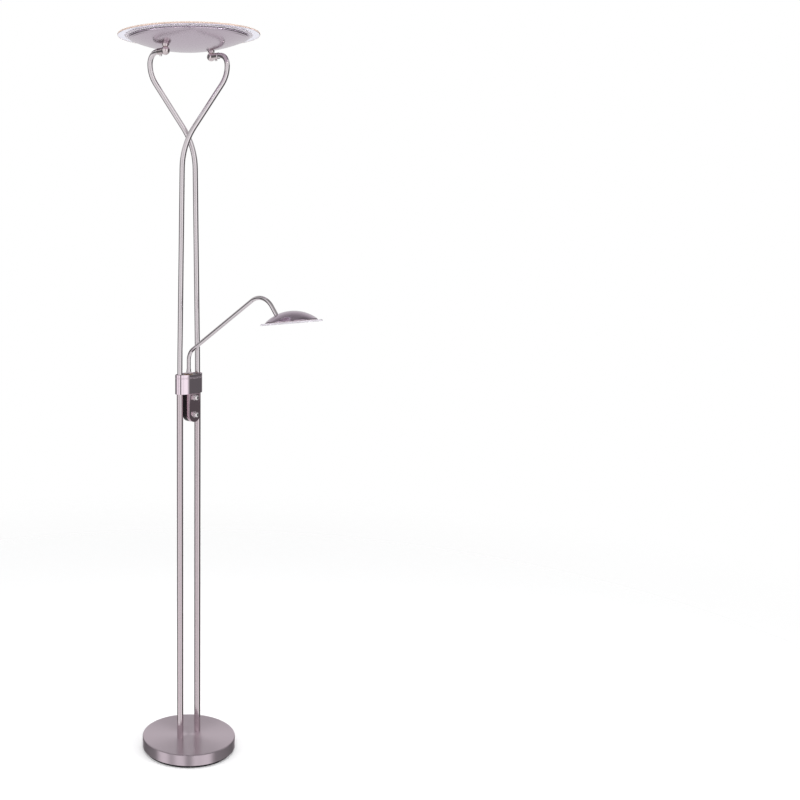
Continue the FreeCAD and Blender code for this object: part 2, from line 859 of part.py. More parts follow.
def dish_solid(inset):
    """Solid bounded by the dish's outside, or by its inside for a positive inset."""
    radius = dish_sphere_radius() - inset
    centre = V(0, 0, dish_bottom + dish_sphere_radius())
    bowl = Part.makeSphere(radius, centre)
    return bowl.common(upright(dish_radius - inset, dish_bottom - over, dish_rim_z))


def neck_hole(gap):
    """Bore for a knuckle's stud, square to the floor."""
    return upright(neck_stud_radius + gap, knuckle_z, dish_rim_z, knuckle_x)


def uplighter_dish():
    """Spun dish with an upright lip."""
    shell = dish_solid(0).cut(dish_solid(dish_wall))
    return shell.cut(neck_hole(seat_gap)).cut(turned(neck_hole(seat_gap)))


def uplighter_glass():
    """Large glass disc with a softly rounded edge."""
    return soft_disc(glass_radius, glass_bottom, overall_height, glass_edge)


def glass_gasket():
    """Clear ring between the dish's lip and the glass."""
    return ring(dish_radius, dish_radius - 2 * dish_wall, dish_rim_z, glass_bottom)


def spreader_top():
    """Height of the heat spreader's upper side."""
    return glass_bottom - spreader_below_glass


def post_places():
    """Centres of the posts in the uplighter."""
    angles = [math.radians(90 + 360.0 / post_count * i) for i in range(post_count)]
    return [(post_circle * math.cos(a), post_circle * math.sin(a)) for a in angles]


def heat_spreader():
    """Aluminium plate that carries the board."""
    return upright(spreader_radius, spreader_top() - spreader_thickness, spreader_top())


def spreader_posts():
    """Posts from the dish up to the heat spreader."""
    inside = dish_solid(dish_wall)
    high = spreader_top() - spreader_thickness
    posts = [upright(post_radius, dish_bottom, high, x, y).common(inside) for x, y in post_places()]
    return Part.makeCompound(posts)


def glass_posts():
    """Soft posts from the heat spreader up to the glass."""
    low = spreader_top()
    return Part.makeCompound([upright(post_radius, low, glass_bottom, x, y) for x, y in post_places()])


def uplighter_board():
    """Round board with rings of light sources."""
    return upright(uplight_board_radius, spreader_top(), spreader_top() + board_thickness)


def board_lights():
    """Light sources on the uplighter's board."""
    low = spreader_top() + board_thickness
    lights = []
    for radius in board_led_circles:
        count = int(2 * math.pi * radius / board_led_pitch)
        for i in range(count):
            angle = 2 * math.pi * i / count
            x, y = radius * math.cos(angle), radius * math.sin(angle)
            lights.append(upright(led_radius, low, low + led_height, x, y))
    return Part.makeCompound(lights)


def uplighter_driver():
    """Driver housing under the heat spreader."""
    high = spreader_top() - spreader_thickness
    return Part.makeBox(driver_length, driver_width, driver_height,
                        V(-driver_length / 2, -driver_width / 2, high - driver_height))


# Knuckles: the right-hand one, whose tube comes from the front

def knuckle_centre():
    """Centre of the right-hand ball."""
    return V(knuckle_x, 0, knuckle_z)


def side_space(outer_side):
    """Block that reaches past the ball, on the outer or the inner side of the friction disc."""
    size = 4 * knuckle_radius
    half = friction_disc_thickness / 2
    x = knuckle_x + half if outer_side else knuckle_x - half - size
    return Part.makeBox(size, size, size, V(x, -size / 2, knuckle_z - size / 2))


def knuckle_lower():
    """Outer half of the ball with the collar that holds the tube."""
    centre = knuckle_centre()
    forward = V(0, -1, 0)
    half_ball = Part.makeSphere(knuckle_radius, centre).common(side_space(True))
    collar = cylinder(collar_radius, centre, forward, collar_length)
    clearance = Part.makeSphere(knuckle_radius + body_gap, centre)
    collar = collar.cut(clearance.cut(side_space(True)))
    body = half_ball.fuse(collar).removeSplitter()
    tube_end, wire_start = centre + forward * tube_stop, centre + forward * wire_bore_start
    body = body.cut(cylinder(upper_tube_radius + seat_gap, tube_end, forward, collar_length))
    body = body.cut(cylinder(wire_bore_radius, wire_start, forward, collar_length))
    body = body.cut(cylinder(pivot_radius + seat_gap, centre, V(1, 0, 0), pivot_reach + seat_gap))
    screw = V(knuckle_x, -set_screw_offset, knuckle_z)
    return body.cut(cylinder(set_screw_radius + seat_gap, screw, V(0, 0, -1), collar_radius + over))


def knuckle_upper():
    """Inner half of the ball with the ring and the boss that carry the dish."""
    centre = knuckle_centre()
    half_ball = Part.makeSphere(knuckle_radius, centre).common(side_space(False))
    low, high = knuckle_z + ring_start, knuckle_z + ring_start + ring_height
    neck = upright(neck_radius, knuckle_z + knuckle_radius / 2, low, knuckle_x)
    collar = upright(ring_radius, low, high, knuckle_x)
    boss = upright(boss_radius, high, dish_outside_z(knuckle_x + boss_radius) + over, knuckle_x)
    stem = neck.fuse(collar).fuse(boss)
    stem = stem.cut(Part.makeSphere(knuckle_radius + body_gap, centre).cut(side_space(False)))
    stud = upright(neck_stud_radius, high, dish_outside_z(knuckle_x) + neck_stud_length, knuckle_x)
    stem = stem.cut(dish_solid(0)).fuse(stud)
    body = half_ball.fuse(stem).removeSplitter()
    inward, reach = V(-1, 0, 0), 2 * knuckle_radius
    body = body.cut(cylinder(pivot_radius + running_gap, centre, inward, reach))
    return body.cut(cylinder(pivot_head_radius + body_gap, centre + inward * pivot_seat(), inward, reach))


def pivot_seat():
    """Distance from the ball's centre to the seat of the pivot screw's head."""
    return knuckle_radius - pivot_head_height - pivot_head_recess


def pivot_screws():
    """Shoulder screws that the upper halves tilt on."""
    centre = knuckle_centre()
    inward = V(-1, 0, 0)
    seat = centre + inward * (pivot_seat() + running_gap)
    head = cylinder(pivot_head_radius, seat, inward, pivot_head_height)
    stem = cylinder(pivot_radius, seat, V(1, 0, 0), pivot_seat() + running_gap + pivot_reach)
    corner = V(-pivot_seat() - pivot_head_height - over, -2 * pivot_head_radius, -pivot_slot_width / 2)
    slot = Part.makeBox(pivot_slot_depth + over, 4 * pivot_head_radius, pivot_slot_width, centre + corner)
    return both_sides(head.fuse(stem).removeSplitter().cut(slot))


def friction_discs():
    """Fibre discs between the two halves of each ball."""
    half = friction_disc_thickness / 2
    start = knuckle_centre() - V(half - running_gap, 0, 0)
    outward = V(1, 0, 0)
    disc = cylinder(friction_disc_radius, start, outward, friction_disc_thickness - running_gap)
    bore_length = friction_disc_thickness + 2 * over
    bore = cylinder(pivot_radius + seat_gap, start - outward * over, outward, bore_length)
    return both_sides(disc.cut(bore))


def set_screws():
    """Knurled screws that clamp the tubes in the collars."""
    start = V(knuckle_x, -set_screw_offset, knuckle_z - upper_tube_radius)
    down = V(0, 0, -1)
    neck_length = collar_radius - upper_tube_radius + set_screw_neck
    stem = cylinder(set_screw_radius, start, down, neck_length + over)
    top = start + down * neck_length
    head = cylinder(set_screw_head_radius, top, down, set_screw_head_height)
    lower_edge = edges_at(head, V(0, 0, 1), top.z - set_screw_head_height)
    head = head.makeFillet(set_screw_edge, lower_edge)
    return both_sides(stem.fuse(head).removeSplitter())


def wedge_washers():
    """Washers that turn the dish's slope into a level seat."""
    high = dish_outside_z(knuckle_x) + wedge_washer_thickness + dish_wall
    body = upright(wedge_washer_radius, knuckle_z, high, knuckle_x).common(dish_solid(dish_wall))
    return both_sides(body.cut(neck_hole(seat_gap)))


def neck_nuts():
    """Nuts that fasten the dish to the knuckles."""
    low = dish_outside_z(knuckle_x) + wedge_washer_thickness + dish_wall
    nut = hex_prism(neck_nut_flats, V(knuckle_x, 0, low), V(0, 0, 1), neck_nut_height)
    return both_sides(nut.cut(neck_hole(seat_gap)))


def build_base():
    """Write the base's nodes."""
    save("base_cover", base_cover())
    save("counterweight", counterweight())
    save("base_plate", base_plate())
    save("foot_pad", foot_pad())
    save("base_plate_screws", base_plate_screws())
    save("tube_studs", tube_studs())
    save("stud_washers", stud_washers())
    save("stud_nuts", stud_nuts())
    save("mains_gland", mains_gland())


def build_column():
    """Write the tubes."""
    save("lower_tube_right", lower_tube())
    save("lower_tube_left", turned(lower_tube()))
    save("upper_tube_front", upper_tube())
    save("upper_tube_rear", turned(upper_tube()))


def build_clamp():
    """Write the clamp band and the control box."""
    save("clamp_band", clamp_band())
    save("clamp_core", clamp_core())
    save("clamp_screws", clamp_screws())
    save("control_cover", control_cover())
    save("control_box", control_box())
    save("box_screws", box_screws())
    save("dimmer_nuts", dimmer_nuts())
    for name, z in (("uplighter", upper_knob_z()), ("reading", lower_knob_z())):
        save(name + "_dimmer", dimmer(z))
        save(name + "_dimmer_shaft", shaft(z))
        save(name + "_knob", knob(z))


def build_arm():
    """Write the reading arm."""
    save("arm_bush", arm_bush())
    save("arm_tube", arm_tube())
    save("arm_collar", arm_collar())
    save("arm_retainer", arm_retainer())
    save("head_ball", head_ball())


def build_reading_head():
    """Write the reading head's nodes, moved onto the arm."""
    placement = head_placement()
    pieces = {"reading_dome": reading_dome(), "ball_socket": ball_socket(),
              "reading_heat_sink": heat_sink(), "reading_board": reading_board(),
              "reading_glass": reading_glass(), "reading_glass_posts": head_posts()}
    for name, shape in pieces.items():
        save(name, shape.transformed(placement.toMatrix()))


def build_uplighter():
    """Write the uplighter's nodes."""
    save("uplighter_dish", uplighter_dish())
    save("uplighter_glass", uplighter_glass())
    save("glass_gasket", glass_gasket())
    save("heat_spreader", heat_spreader())
    save("spreader_posts", spreader_posts())
    save("glass_posts", glass_posts())
    save("uplighter_board", uplighter_board())
    save("board_lights", board_lights())
    save("uplighter_driver", uplighter_driver())


def build_knuckles():
    """Write the two knuckles."""
    save("knuckle_lower_right", knuckle_lower())
    save("knuckle_lower_left", turned(knuckle_lower()))
    save("knuckle_upper_right", knuckle_upper())
    save("knuckle_upper_left", turned(knuckle_upper()))
    save("pivot_screws", pivot_screws())
    save("friction_discs", friction_discs())
    save("set_screws", set_screws())
    save("wedge_washers", wedge_washers())
    save("neck_nuts", neck_nuts())


os.makedirs("parts", exist_ok=True)
build_base()
build_column()
build_clamp()
build_arm()
build_reading_head()
build_uplighter()
build_knuckles()
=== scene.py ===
"""A torchiere floor lamp with a reading light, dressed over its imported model.

Every length is in metres, +Z is up, and the lamp's front faces -Y.
"""

import logging
import math
from dataclasses import dataclass, replace
from enum import Enum
from functools import cache
from typing import Callable, ClassVar, Sequence

import bpy
from mathutils import Matrix, Vector

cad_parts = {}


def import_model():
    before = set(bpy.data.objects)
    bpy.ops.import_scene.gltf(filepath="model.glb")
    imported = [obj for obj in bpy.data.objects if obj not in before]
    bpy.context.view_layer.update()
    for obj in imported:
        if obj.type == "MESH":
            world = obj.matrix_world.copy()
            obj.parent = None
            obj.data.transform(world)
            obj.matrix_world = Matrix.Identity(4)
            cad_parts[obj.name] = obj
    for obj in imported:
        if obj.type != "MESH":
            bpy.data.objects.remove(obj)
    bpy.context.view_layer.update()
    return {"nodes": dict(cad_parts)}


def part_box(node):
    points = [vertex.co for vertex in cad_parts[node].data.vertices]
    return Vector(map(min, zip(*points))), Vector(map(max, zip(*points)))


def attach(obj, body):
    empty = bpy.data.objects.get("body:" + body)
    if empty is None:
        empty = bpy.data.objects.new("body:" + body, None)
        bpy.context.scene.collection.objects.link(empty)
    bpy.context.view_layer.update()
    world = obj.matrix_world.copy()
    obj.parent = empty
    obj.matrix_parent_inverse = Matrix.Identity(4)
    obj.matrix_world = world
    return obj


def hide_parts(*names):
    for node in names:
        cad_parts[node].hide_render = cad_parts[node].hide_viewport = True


LOG = logging.getLogger("lamp")

Colour = tuple[float, float, float]
Point = tuple[float, float, float]
Span = tuple[float, float]
Outline = list[Span]
Socket = bpy.types.NodeSocket
Piece = bpy.types.Object
Term = Socket | float | Point | Vector

UPWARDS = Vector((0.0, 0.0, 1.0))
FRONTWARDS = Vector((0.0, -1.0, 0.0))

MERGE_DISTANCE = 0.000002  # points nearer than this are made one
SAME_HEIGHT = 0.00001  # heights nearer than this count as the same
FACING = 0.9  # a normal that points this far along a direction faces it
FLAT_ANGLE = math.radians(0.4)  # faces that meet at less than this are made one
ROUND_ANGLE = math.radians(40.0)  # edges that turn more than this are rounded
SPUN_SMOOTH_ANGLE = math.radians(32.0)  # edges of a spun piece that turn more than this stay sharp
ROUNDED_SMOOTH_ANGLE = math.radians(35.0)  # the same for a rounded piece


class Grain(Enum):
    """How the fine lines of a metal finish run."""

    UPRIGHT = "upright"
    CIRCLES = "circles"
    SPECKLE = "speckle"


class NodeBoard:
    """The node tree of a material or a world, with short calls to add and join nodes."""

    def __init__(self, owner: bpy.types.Material | bpy.types.World) -> None:
        """Empty the tree and add its output.

        Args:
            owner: The new material or world.
        """
        owner.use_nodes = True
        self.owner = owner
        self.tree = owner.node_tree
        self.tree.nodes.clear()
        kind = "World" if isinstance(owner, bpy.types.World) else "Material"
        self.output = self.add(f"ShaderNodeOutput{kind}").inputs["Surface"]

    def add(self, kind: str, **settings: object) -> bpy.types.Node:
        """Add a node.

        Args:
            kind: The node's type name.
            **settings: Properties of the node.

        Returns:
            The new node.
        """
        node = self.tree.nodes.new(kind)
        for name, value in settings.items():
            setattr(node, name, value)
        return node

    def feed(self, target: Socket, term: Term) -> None:
        """Join a socket to an input, or set the input to a constant.

        Args:
            target: The input.
            term: A node's output, a number, a vector or a colour.
        """
        if isinstance(term, Socket):
            self.tree.links.new(term, target)
        elif target.type == "RGBA":
            target.default_value = (*term, 1.0)
        else:
            target.default_value = term

    def math(self, operation: str, *terms: Socket | float) -> Socket:
        """Add a Math node.

        Args:
            operation: Blender's name for the sum.
            *terms: Its terms.

        Returns:
            The result's socket.
        """
        node = self.add("ShaderNodeMath", operation=operation)
        for target, term in zip(node.inputs, terms):
            self.feed(target, term)
        return node.outputs[0]

    def vector_math(self, operation: str, vector: Socket, term: Point | Vector) -> bpy.types.Node:
        """Add a Vector Math node with a constant second term.

        Args:
            operation: Blender's name for the sum.
            vector: The first term.
            term: The second one.

        Returns:
            The node.
        """
        node = self.add("ShaderNodeVectorMath", operation=operation)
        self.feed(node.inputs[0], vector)
        self.feed(node.inputs[1], term)
        return node

    def place(self, centre: Point = (0.0, 0.0, 0.0), tilt: float = 0.0) -> Socket:
        """Give the place on the piece, seen from a centre and from an axis tipped about X.

        Args:
            centre: The point that becomes the origin.
            tilt: How far the piece's own axis is turned about X, in radians.

        Returns:
            The socket of the vector.
        """
        node = self.add("ShaderNodeMapping", vector_type="TEXTURE")
        terms = {"Vector": self.add("ShaderNodeTexCoord").outputs["Object"], "Location": centre,
                 "Rotation": (tilt, 0.0, 0.0)}
        for name, term in terms.items():
            self.feed(node.inputs[name], term)
        return node.outputs[0]

    def parts(self, vector: Socket) -> bpy.types.NodeOutputs:
        """Take a vector apart.

        Args:
            vector: The vector.

        Returns:
            The sockets of its parts, by the names X, Y and Z.
        """
        node = self.add("ShaderNodeSeparateXYZ")
        self.feed(node.inputs[0], vector)
        return node.outputs

    def radius_from_axis(self, place: Socket) -> Socket:
        """Give the distance from the upright axis.

        Args:
            place: The socket of the place on the piece.

        Returns:
            The socket of the distance.
        """
        parts = self.parts(place)
        squares = [self.math("MULTIPLY", parts[name], parts[name]) for name in ("X", "Y")]
        return self.math("SQRT", self.math("ADD", *squares))

    def noise(self, vector: Socket, scale: float, detail: float = 2.0) -> Socket:
        """Add a noise.

        Args:
            vector: Where the noise is read.
            scale: Its fineness.
            detail: Its number of finer layers.

        Returns:
            The socket of its value.
        """
        node = self.add("ShaderNodeTexNoise")
        for name, term in (("Vector", vector), ("Scale", scale), ("Detail", detail)):
            self.feed(node.inputs[name], term)
        return node.outputs["Fac"]

    def span(self, value: Socket, source: Span = (0.0, 1.0), target: Span = (0.0, 1.0),
             kind: str = "LINEAR") -> Socket:
        """Turn one span of a value into another, and hold it at the ends.

        Args:
            value: The value.
            source: The two numbers that the value runs between.
            target: What these two become.
            kind: Blender's name for the way between them.

        Returns:
            The socket of the result.
        """
        node = self.add("ShaderNodeMapRange", interpolation_type=kind)
        names = ("Value", "From Min", "From Max", "To Min", "To Max")
        for name, term in zip(names, (value, *source, *target)):
            self.feed(node.inputs[name], term)
        return node.outputs[0]

    def grey_ramp(self, value: Socket, stops: Sequence[Span]) -> Socket:
        """Turn a value into a grey that runs through given levels.

        Args:
            value: The value, from 0 to 1.
            stops: Rising places from 0 to 1, and the level at each.

        Returns:
            The socket of the grey.
        """
        node = self.add("ShaderNodeValToRGB")
        elements = node.color_ramp.elements
        elements[0].position, elements[1].position = stops[0][0], stops[-1][0]
        elements[0].color = (*(stops[0][1],) * 3, 1.0)
        elements[1].color = (*(stops[-1][1],) * 3, 1.0)
        for place, level in stops[1:-1]:
            elements.new(place).color = (*(level,) * 3, 1.0)
        self.feed(node.inputs[0], value)
        return node.outputs[0]

    def blend_colours(self, share: Socket, first: Socket | Colour, second: Socket | Colour) -> Socket:
        """Blend two colours.

        Args:
            share: How much of the second colour shows.
            first: The first colour, or its socket.
            second: The second colour, or its socket.

        Returns:
            The socket of the colour.
        """
        node = self.add("ShaderNodeMix", data_type="RGBA")
        for name, term in (("Factor", share), ("A", first), ("B", second)):
            self.feed(node.inputs[name], term)
        return node.outputs["Result"]

    def blend_shaders(self, share: Socket, first: Socket, second: Socket) -> Socket:
        """Blend two shaders.

        Args:
            share: How much of the second shader shows.
            first: The first shader.
            second: The second shader.

        Returns:
            The socket of the blend.
        """
        node = self.add("ShaderNodeMixShader")
        for target, term in zip(node.inputs, (share, first, second)):
            self.feed(target, term)
        return node.outputs[0]

    def bump(self, height: Socket, strength: float, distance: float) -> Socket:
        """Turn a height into a normal.

        Args:
            height: The height.
            strength: How strongly it shows.
            distance: The height's depth in metres.

        Returns:
            The socket of the normal.
        """
        node = self.add("ShaderNodeBump")
        for name, term in (("Height", height), ("Strength", strength), ("Distance", distance)):
            self.feed(node.inputs[name], term)
        return node.outputs[0]

    def surface(self, **terms: Term) -> bpy.types.Node:
        """Add the main shader and join it to the output.

        Args:
            **terms: Its inputs, with underscores for the spaces in their names.

        Returns:
            The shader's node.
        """
        shader = self.add("ShaderNodeBsdfPrincipled")
        for name, term in terms.items():
            self.feed(shader.inputs[name.replace("_", " ")], term)
        self.feed(self.output, shader.outputs[0])
        return shader


@dataclass(frozen=True)
class MetalFinish:
    """A metal with a fine grain.

    Attributes:
        name: The material's name.
        colour: The lighter colour of the metal.
        shade: The darker colour that drifts through it.
        roughness: How far its reflections are blurred.
        grain: How its fine lines run.
        grain_scale: How many grain lines there are to the metre, roughly.
        grain_depth: Depth of the lines in metres.
        anisotropy: How strongly the lines pull reflections out.
        contrast: How much of the darker colour the lines bring in.
        centre: A point on the axis of the circles.
        tilt: How far that axis is turned about X, in radians.
        upright_stretch: Fineness of upright lines along their length, as a share of that across.
        circle_stretch: Length on which the grain is read for each radian round a circle, in metres.
        drift_scale: Fineness of the slow drift between the two colours.
        smudge_scale: Fineness of the smudges in the gloss.
        smudge_detail: Number of finer layers in the smudges.
        roughness_span: Least and most roughness, as shares of the finish's own.
        line_strength: How strongly the lines show in the relief.
        pull_turn: Turn of the pulled-out reflections, as a share of a whole turn.
    """

    name: str
    colour: Colour
    shade: Colour
    roughness: float
    grain: Grain
    grain_scale: float = 1400.0
    grain_depth: float = 0.000002
    anisotropy: float = 0.0
    contrast: float = 0.6
    centre: Point = (0.0, 0.0, 0.0)
    tilt: float = 0.0
    upright_stretch: ClassVar[float] = 0.012
    circle_stretch: ClassVar[float] = 0.0022
    drift_scale: ClassVar[float] = 9.0
    smudge_scale: ClassVar[float] = 38.0
    smudge_detail: ClassVar[float] = 4.0
    roughness_span: ClassVar[Span] = (0.75, 1.3)
    line_strength: ClassVar[float] = 0.4
    pull_turn: ClassVar[float] = 0.25

    def grain_vector(self, board: NodeBoard) -> Socket:
        """Give the vector on which the grain is read.

        Args:
            board: The material's nodes.

        Returns:
            The socket of the vector.
        """
        place = board.place(self.centre, self.tilt)
        if self.grain is Grain.UPRIGHT:
            return board.vector_math("MULTIPLY", place, (1.0, 1.0, self.upright_stretch)).outputs[0]
        if self.grain is Grain.CIRCLES:
            parts = board.parts(place)
            turn = board.math("ARCTAN2", parts["Y"], parts["X"])
            joined = board.add("ShaderNodeCombineXYZ")
            board.feed(joined.inputs["X"], board.radius_from_axis(place))
            board.feed(joined.inputs["Y"], board.math("MULTIPLY", turn, self.circle_stretch))
            board.feed(joined.inputs["Z"], parts["Z"])
            return joined.outputs[0]
        return place

    def material(self) -> bpy.types.Material:
        """Build the material.

        Returns:
            The material.
        """
        board = NodeBoard(bpy.data.materials.new(self.name))
        lines = board.noise(self.grain_vector(board), self.grain_scale)
        drift = board.noise(board.place(), self.drift_scale)
        mixed = board.math("ADD", board.math("MULTIPLY", lines, self.contrast),
                           board.math("MULTIPLY", drift, 1.0 - self.contrast))
        smudge = board.noise(board.place(), self.smudge_scale, self.smudge_detail)
        wear = board.math("ADD", board.math("MULTIPLY", lines, 0.5), board.math("MULTIPLY", smudge, 0.5))
        low, high = self.roughness_span
        shader = board.surface(
            Metallic=1.0, Anisotropic=self.anisotropy, Anisotropic_Rotation=self.pull_turn,
            Base_Color=board.blend_colours(mixed, self.shade, self.colour),
            Roughness=board.span(wear, target=(self.roughness * low, self.roughness * high)))
        if self.grain_depth:
            board.feed(shader.inputs["Normal"], board.bump(lines, self.line_strength, self.grain_depth))
        if self.anisotropy:
            tangent = board.add("ShaderNodeTangent", direction_type="RADIAL", axis="Z")
            board.feed(shader.inputs["Tangent"], tangent.outputs[0])
        return board.owner


@dataclass(frozen=True)
class MouldedFinish:
    """A plastic, rubber, fibre, paint or cast surface with a fine texture.

    Attributes:
        name: The material's name.
        colour: Its main colour.
        shade: The colour in the low places of its texture.
        roughness: How far its reflections are blurred.
        texture_scale: How fine its texture is.
        texture_depth: Depth of the texture in metres.
        metallic: 1 for bare metal.
        sheen: Strength of a soft sheen.
        texture_detail: Number of finer layers in the texture.
        roughness_span: Least and most roughness, as shares of the finish's own.
        texture_strength: How strongly the texture shows in the relief.
    """

    name: str
    colour: Colour
    shade: Colour
    roughness: float
    texture_scale: float
    texture_depth: float
    metallic: float = 0.0
    sheen: float = 0.0
    texture_detail: ClassVar[float] = 4.0
    roughness_span: ClassVar[Span] = (0.85, 1.15)
    texture_strength: ClassVar[float] = 0.6

    def material(self) -> bpy.types.Material:
        """Build the material.

        Returns:
            The material.
        """
        board = NodeBoard(bpy.data.materials.new(self.name))
        texture = board.noise(board.place(), self.texture_scale, self.texture_detail)
        low, high = self.roughness_span
        board.surface(
            Metallic=self.metallic, Sheen_Weight=self.sheen,
            Base_Color=board.blend_colours(texture, self.shade, self.colour),
            Roughness=board.span(texture, target=(self.roughness * low, self.roughness * high)),
            Normal=board.bump(texture, self.texture_strength, self.texture_depth))
        return board.owner


@dataclass(frozen=True)
class GlassFinish:
    """A glass disc that is frosted in the middle and clear at the rim.

    Attributes:
        name: The material's name.
        centre: The disc's centre.
        tilt: How far the disc is turned about X, in radians.
        frosted_radius: Where the frosting ends.
        edge_radius: Where the polished edge begins.
        edge: The colour of the polished edge; on the large disc it is a painted peach highlight.
        clear: The colour of the clear rim.
        frost: The colour of the frosting.
        refraction: Index of refraction of the clear rim.
        let_through: Share of the light that the frosting and the edge let through.
        streak_scale: Fineness of the streaks in the rim's gloss.
        grind_scale: Fineness of the edge's texture.
        frost_scale: Fineness of the frosting's texture.
        frost_detail: Number of finer layers in it.
        frost_depth: Its depth in metres.
        frost_strength: How strongly it shows in the relief.
        clear_gloss: Least and most roughness of the rim.
        edge_gloss: Least and most roughness of the edge.
        frost_gloss: Least and most roughness of the frosting.
        grind_shade: How dark the edge's low places are, as a share of its colour.
        frost_light: How light the frosting's high places are, as a share of its colour.
        edge_fade: Half the width over which the edge fades in.
        frost_fade: Half the width over which the frosting fades out.
    """

    name: str
    centre: Point
    tilt: float
    frosted_radius: float
    edge_radius: float
    edge: Colour
    clear: ClassVar[Colour] = (0.87, 0.86, 0.96)
    frost: ClassVar[Colour] = (0.82, 0.77, 0.82)
    refraction: ClassVar[float] = 1.12
    let_through: ClassVar[float] = 0.3
    streak_scale: ClassVar[float] = 90.0
    grind_scale: ClassVar[float] = 1800.0
    frost_scale: ClassVar[float] = 2200.0
    frost_detail: ClassVar[float] = 3.0
    frost_depth: ClassVar[float] = 0.00002
    frost_strength: ClassVar[float] = 0.35
    clear_gloss: ClassVar[Span] = (0.0, 0.02)
    edge_gloss: ClassVar[Span] = (0.2, 0.35)
    frost_gloss: ClassVar[Span] = (0.42, 0.6)
    grind_shade: ClassVar[float] = 0.93
    frost_light: ClassVar[float] = 1.04
    edge_fade: ClassVar[float] = 0.0002
    frost_fade: ClassVar[float] = 0.0006

    def material(self) -> bpy.types.Material:
        """Build the material.

        Returns:
            The material.
        """
        board = NodeBoard(bpy.data.materials.new(self.name))
        streaks = board.noise(board.place(), self.streak_scale)
        clear = board.surface(IOR=self.refraction, Transmission_Weight=1.0, Base_Color=self.clear,
                              Roughness=board.span(streaks, target=self.clear_gloss))
        grind = board.noise(board.place(), self.grind_scale)
        ground = tuple(part * self.grind_shade for part in self.edge)
        edge = board.surface(Transmission_Weight=self.let_through,
                             Base_Color=board.blend_colours(grind, ground, self.edge),
                             Roughness=board.span(grind, target=self.edge_gloss))
        specks = board.noise(board.place(), self.frost_scale, self.frost_detail)
        bright = tuple(part * self.frost_light for part in self.frost)
        frost = board.surface(Transmission_Weight=self.let_through,
                              Base_Color=board.blend_colours(specks, self.frost, bright),
                              Roughness=board.span(specks, target=self.frost_gloss),
                              Normal=board.bump(specks, self.frost_strength, self.frost_depth))
        distance = board.radius_from_axis(board.place(self.centre, self.tilt))
        at_edge, past_frost = (
            board.span(distance, (radius - fade, radius + fade))
            for radius, fade in ((self.edge_radius, self.edge_fade), (self.frosted_radius, self.frost_fade)))
        rim = board.blend_shaders(at_edge, clear.outputs[0], edge.outputs[0])
        board.feed(board.output, board.blend_shaders(past_frost, frost.outputs[0], rim))
        return board.owner


NICKEL = (0.87, 0.81, 0.84)
NICKEL_SHADE = (0.8, 0.735, 0.77)
# painted highlight: the large glass's edge colour stands in for the warm peach highlight seen along its edge
PEACH_HIGHLIGHT_EDGE = (0.86, 0.66, 0.55)
PALE_EDGE = (0.84, 0.8, 0.86)

SATIN_TUBE = MetalFinish("satin_tube", NICKEL, NICKEL_SHADE, 0.115, Grain.SPECKLE, 260.0, 0.0)
# painted shade and reflection tint: the lower tubes are a darker, pinker copy of the upper tubes' steel, for
# what they reflect lower down
SHADED_LOWER_TUBE = MetalFinish("lower_satin_tube_painted_shade", (0.8, 0.7, 0.74), (0.72, 0.62, 0.66), 0.13,
                         Grain.UPRIGHT, 1400.0, 0.000001)
SATIN_BASE = MetalFinish("satin_base", (0.66, 0.56, 0.62), (0.59, 0.5, 0.555), 0.31,
                         Grain.CIRCLES, 1900.0, 0.000003, 0.85)
SATIN_DISH = MetalFinish("satin_dish", (0.66, 0.57, 0.65), (0.6, 0.515, 0.59), 0.2,
                         Grain.CIRCLES, 1500.0, 0.000001)
POLISHED = MetalFinish("polished_band", (0.95, 0.81, 0.9), (0.89, 0.75, 0.84), 0.06,
                       Grain.UPRIGHT, 700.0, 0.000001)
# painted shade: a darker, ruddier copy of the band's polished steel, standing in for the dark surroundings
# the cover reflects
SHADED_POLISHED_COVER = MetalFinish("polished_cover_painted_shade", (0.76, 0.59, 0.67), (0.68, 0.52, 0.595), 0.07,
                            Grain.UPRIGHT, 700.0, 0.000001)
BRIGHT = MetalFinish("bright_chrome", (0.96, 0.93, 0.94), (0.9, 0.87, 0.88), 0.08,
                     Grain.SPECKLE, 500.0, 0.000001)
KNUCKLE = MetalFinish("knuckle_nickel", (0.86, 0.76, 0.78), (0.78, 0.68, 0.7), 0.1,
                      Grain.SPECKLE, 900.0, 0.000001)
DOME = MetalFinish("dome_steel", (0.56, 0.46, 0.55), (0.5, 0.405, 0.49), 0.16,
                   Grain.CIRCLES, 1300.0, 0.000001)
# painted reflection: the steel edge is coloured rose for the warm reflection it shows, not for its metal
ROSE_PAINTED_REFLECTION = MetalFinish("rose_edge_painted_reflection", (0.86, 0.58, 0.47), (0.74, 0.49, 0.4), 0.22, Grain.SPECKLE, 900.0)
ZINC = MetalFinish("zinc_fastener", (0.62, 0.63, 0.64), (0.48, 0.49, 0.5), 0.32,
                   Grain.SPECKLE, 800.0, 0.00001)
BRONZE = MetalFinish("bearing_bronze", (0.58, 0.38, 0.2), (0.42, 0.27, 0.14), 0.38,
                     Grain.SPECKLE, 900.0, 0.00001)
ALUMINIUM = MetalFinish("plain_aluminium", (0.72, 0.72, 0.73), (0.6, 0.6, 0.61), 0.35,
                        Grain.SPECKLE, 700.0, 0.00001)
DIE_CAST = MouldedFinish("die_cast", (0.34, 0.34, 0.35), (0.22, 0.22, 0.23), 0.5, 650.0, 0.00005, 1.0)
CAST_WEIGHT = MouldedFinish("cast_weight", (0.1, 0.1, 0.105), (0.05, 0.05, 0.055), 0.75, 420.0, 0.0002)
BLACK_PLASTIC = MouldedFinish("black_plastic", (0.022, 0.014, 0.018), (0.01, 0.007, 0.009), 0.42,
                              1500.0, 0.00003)
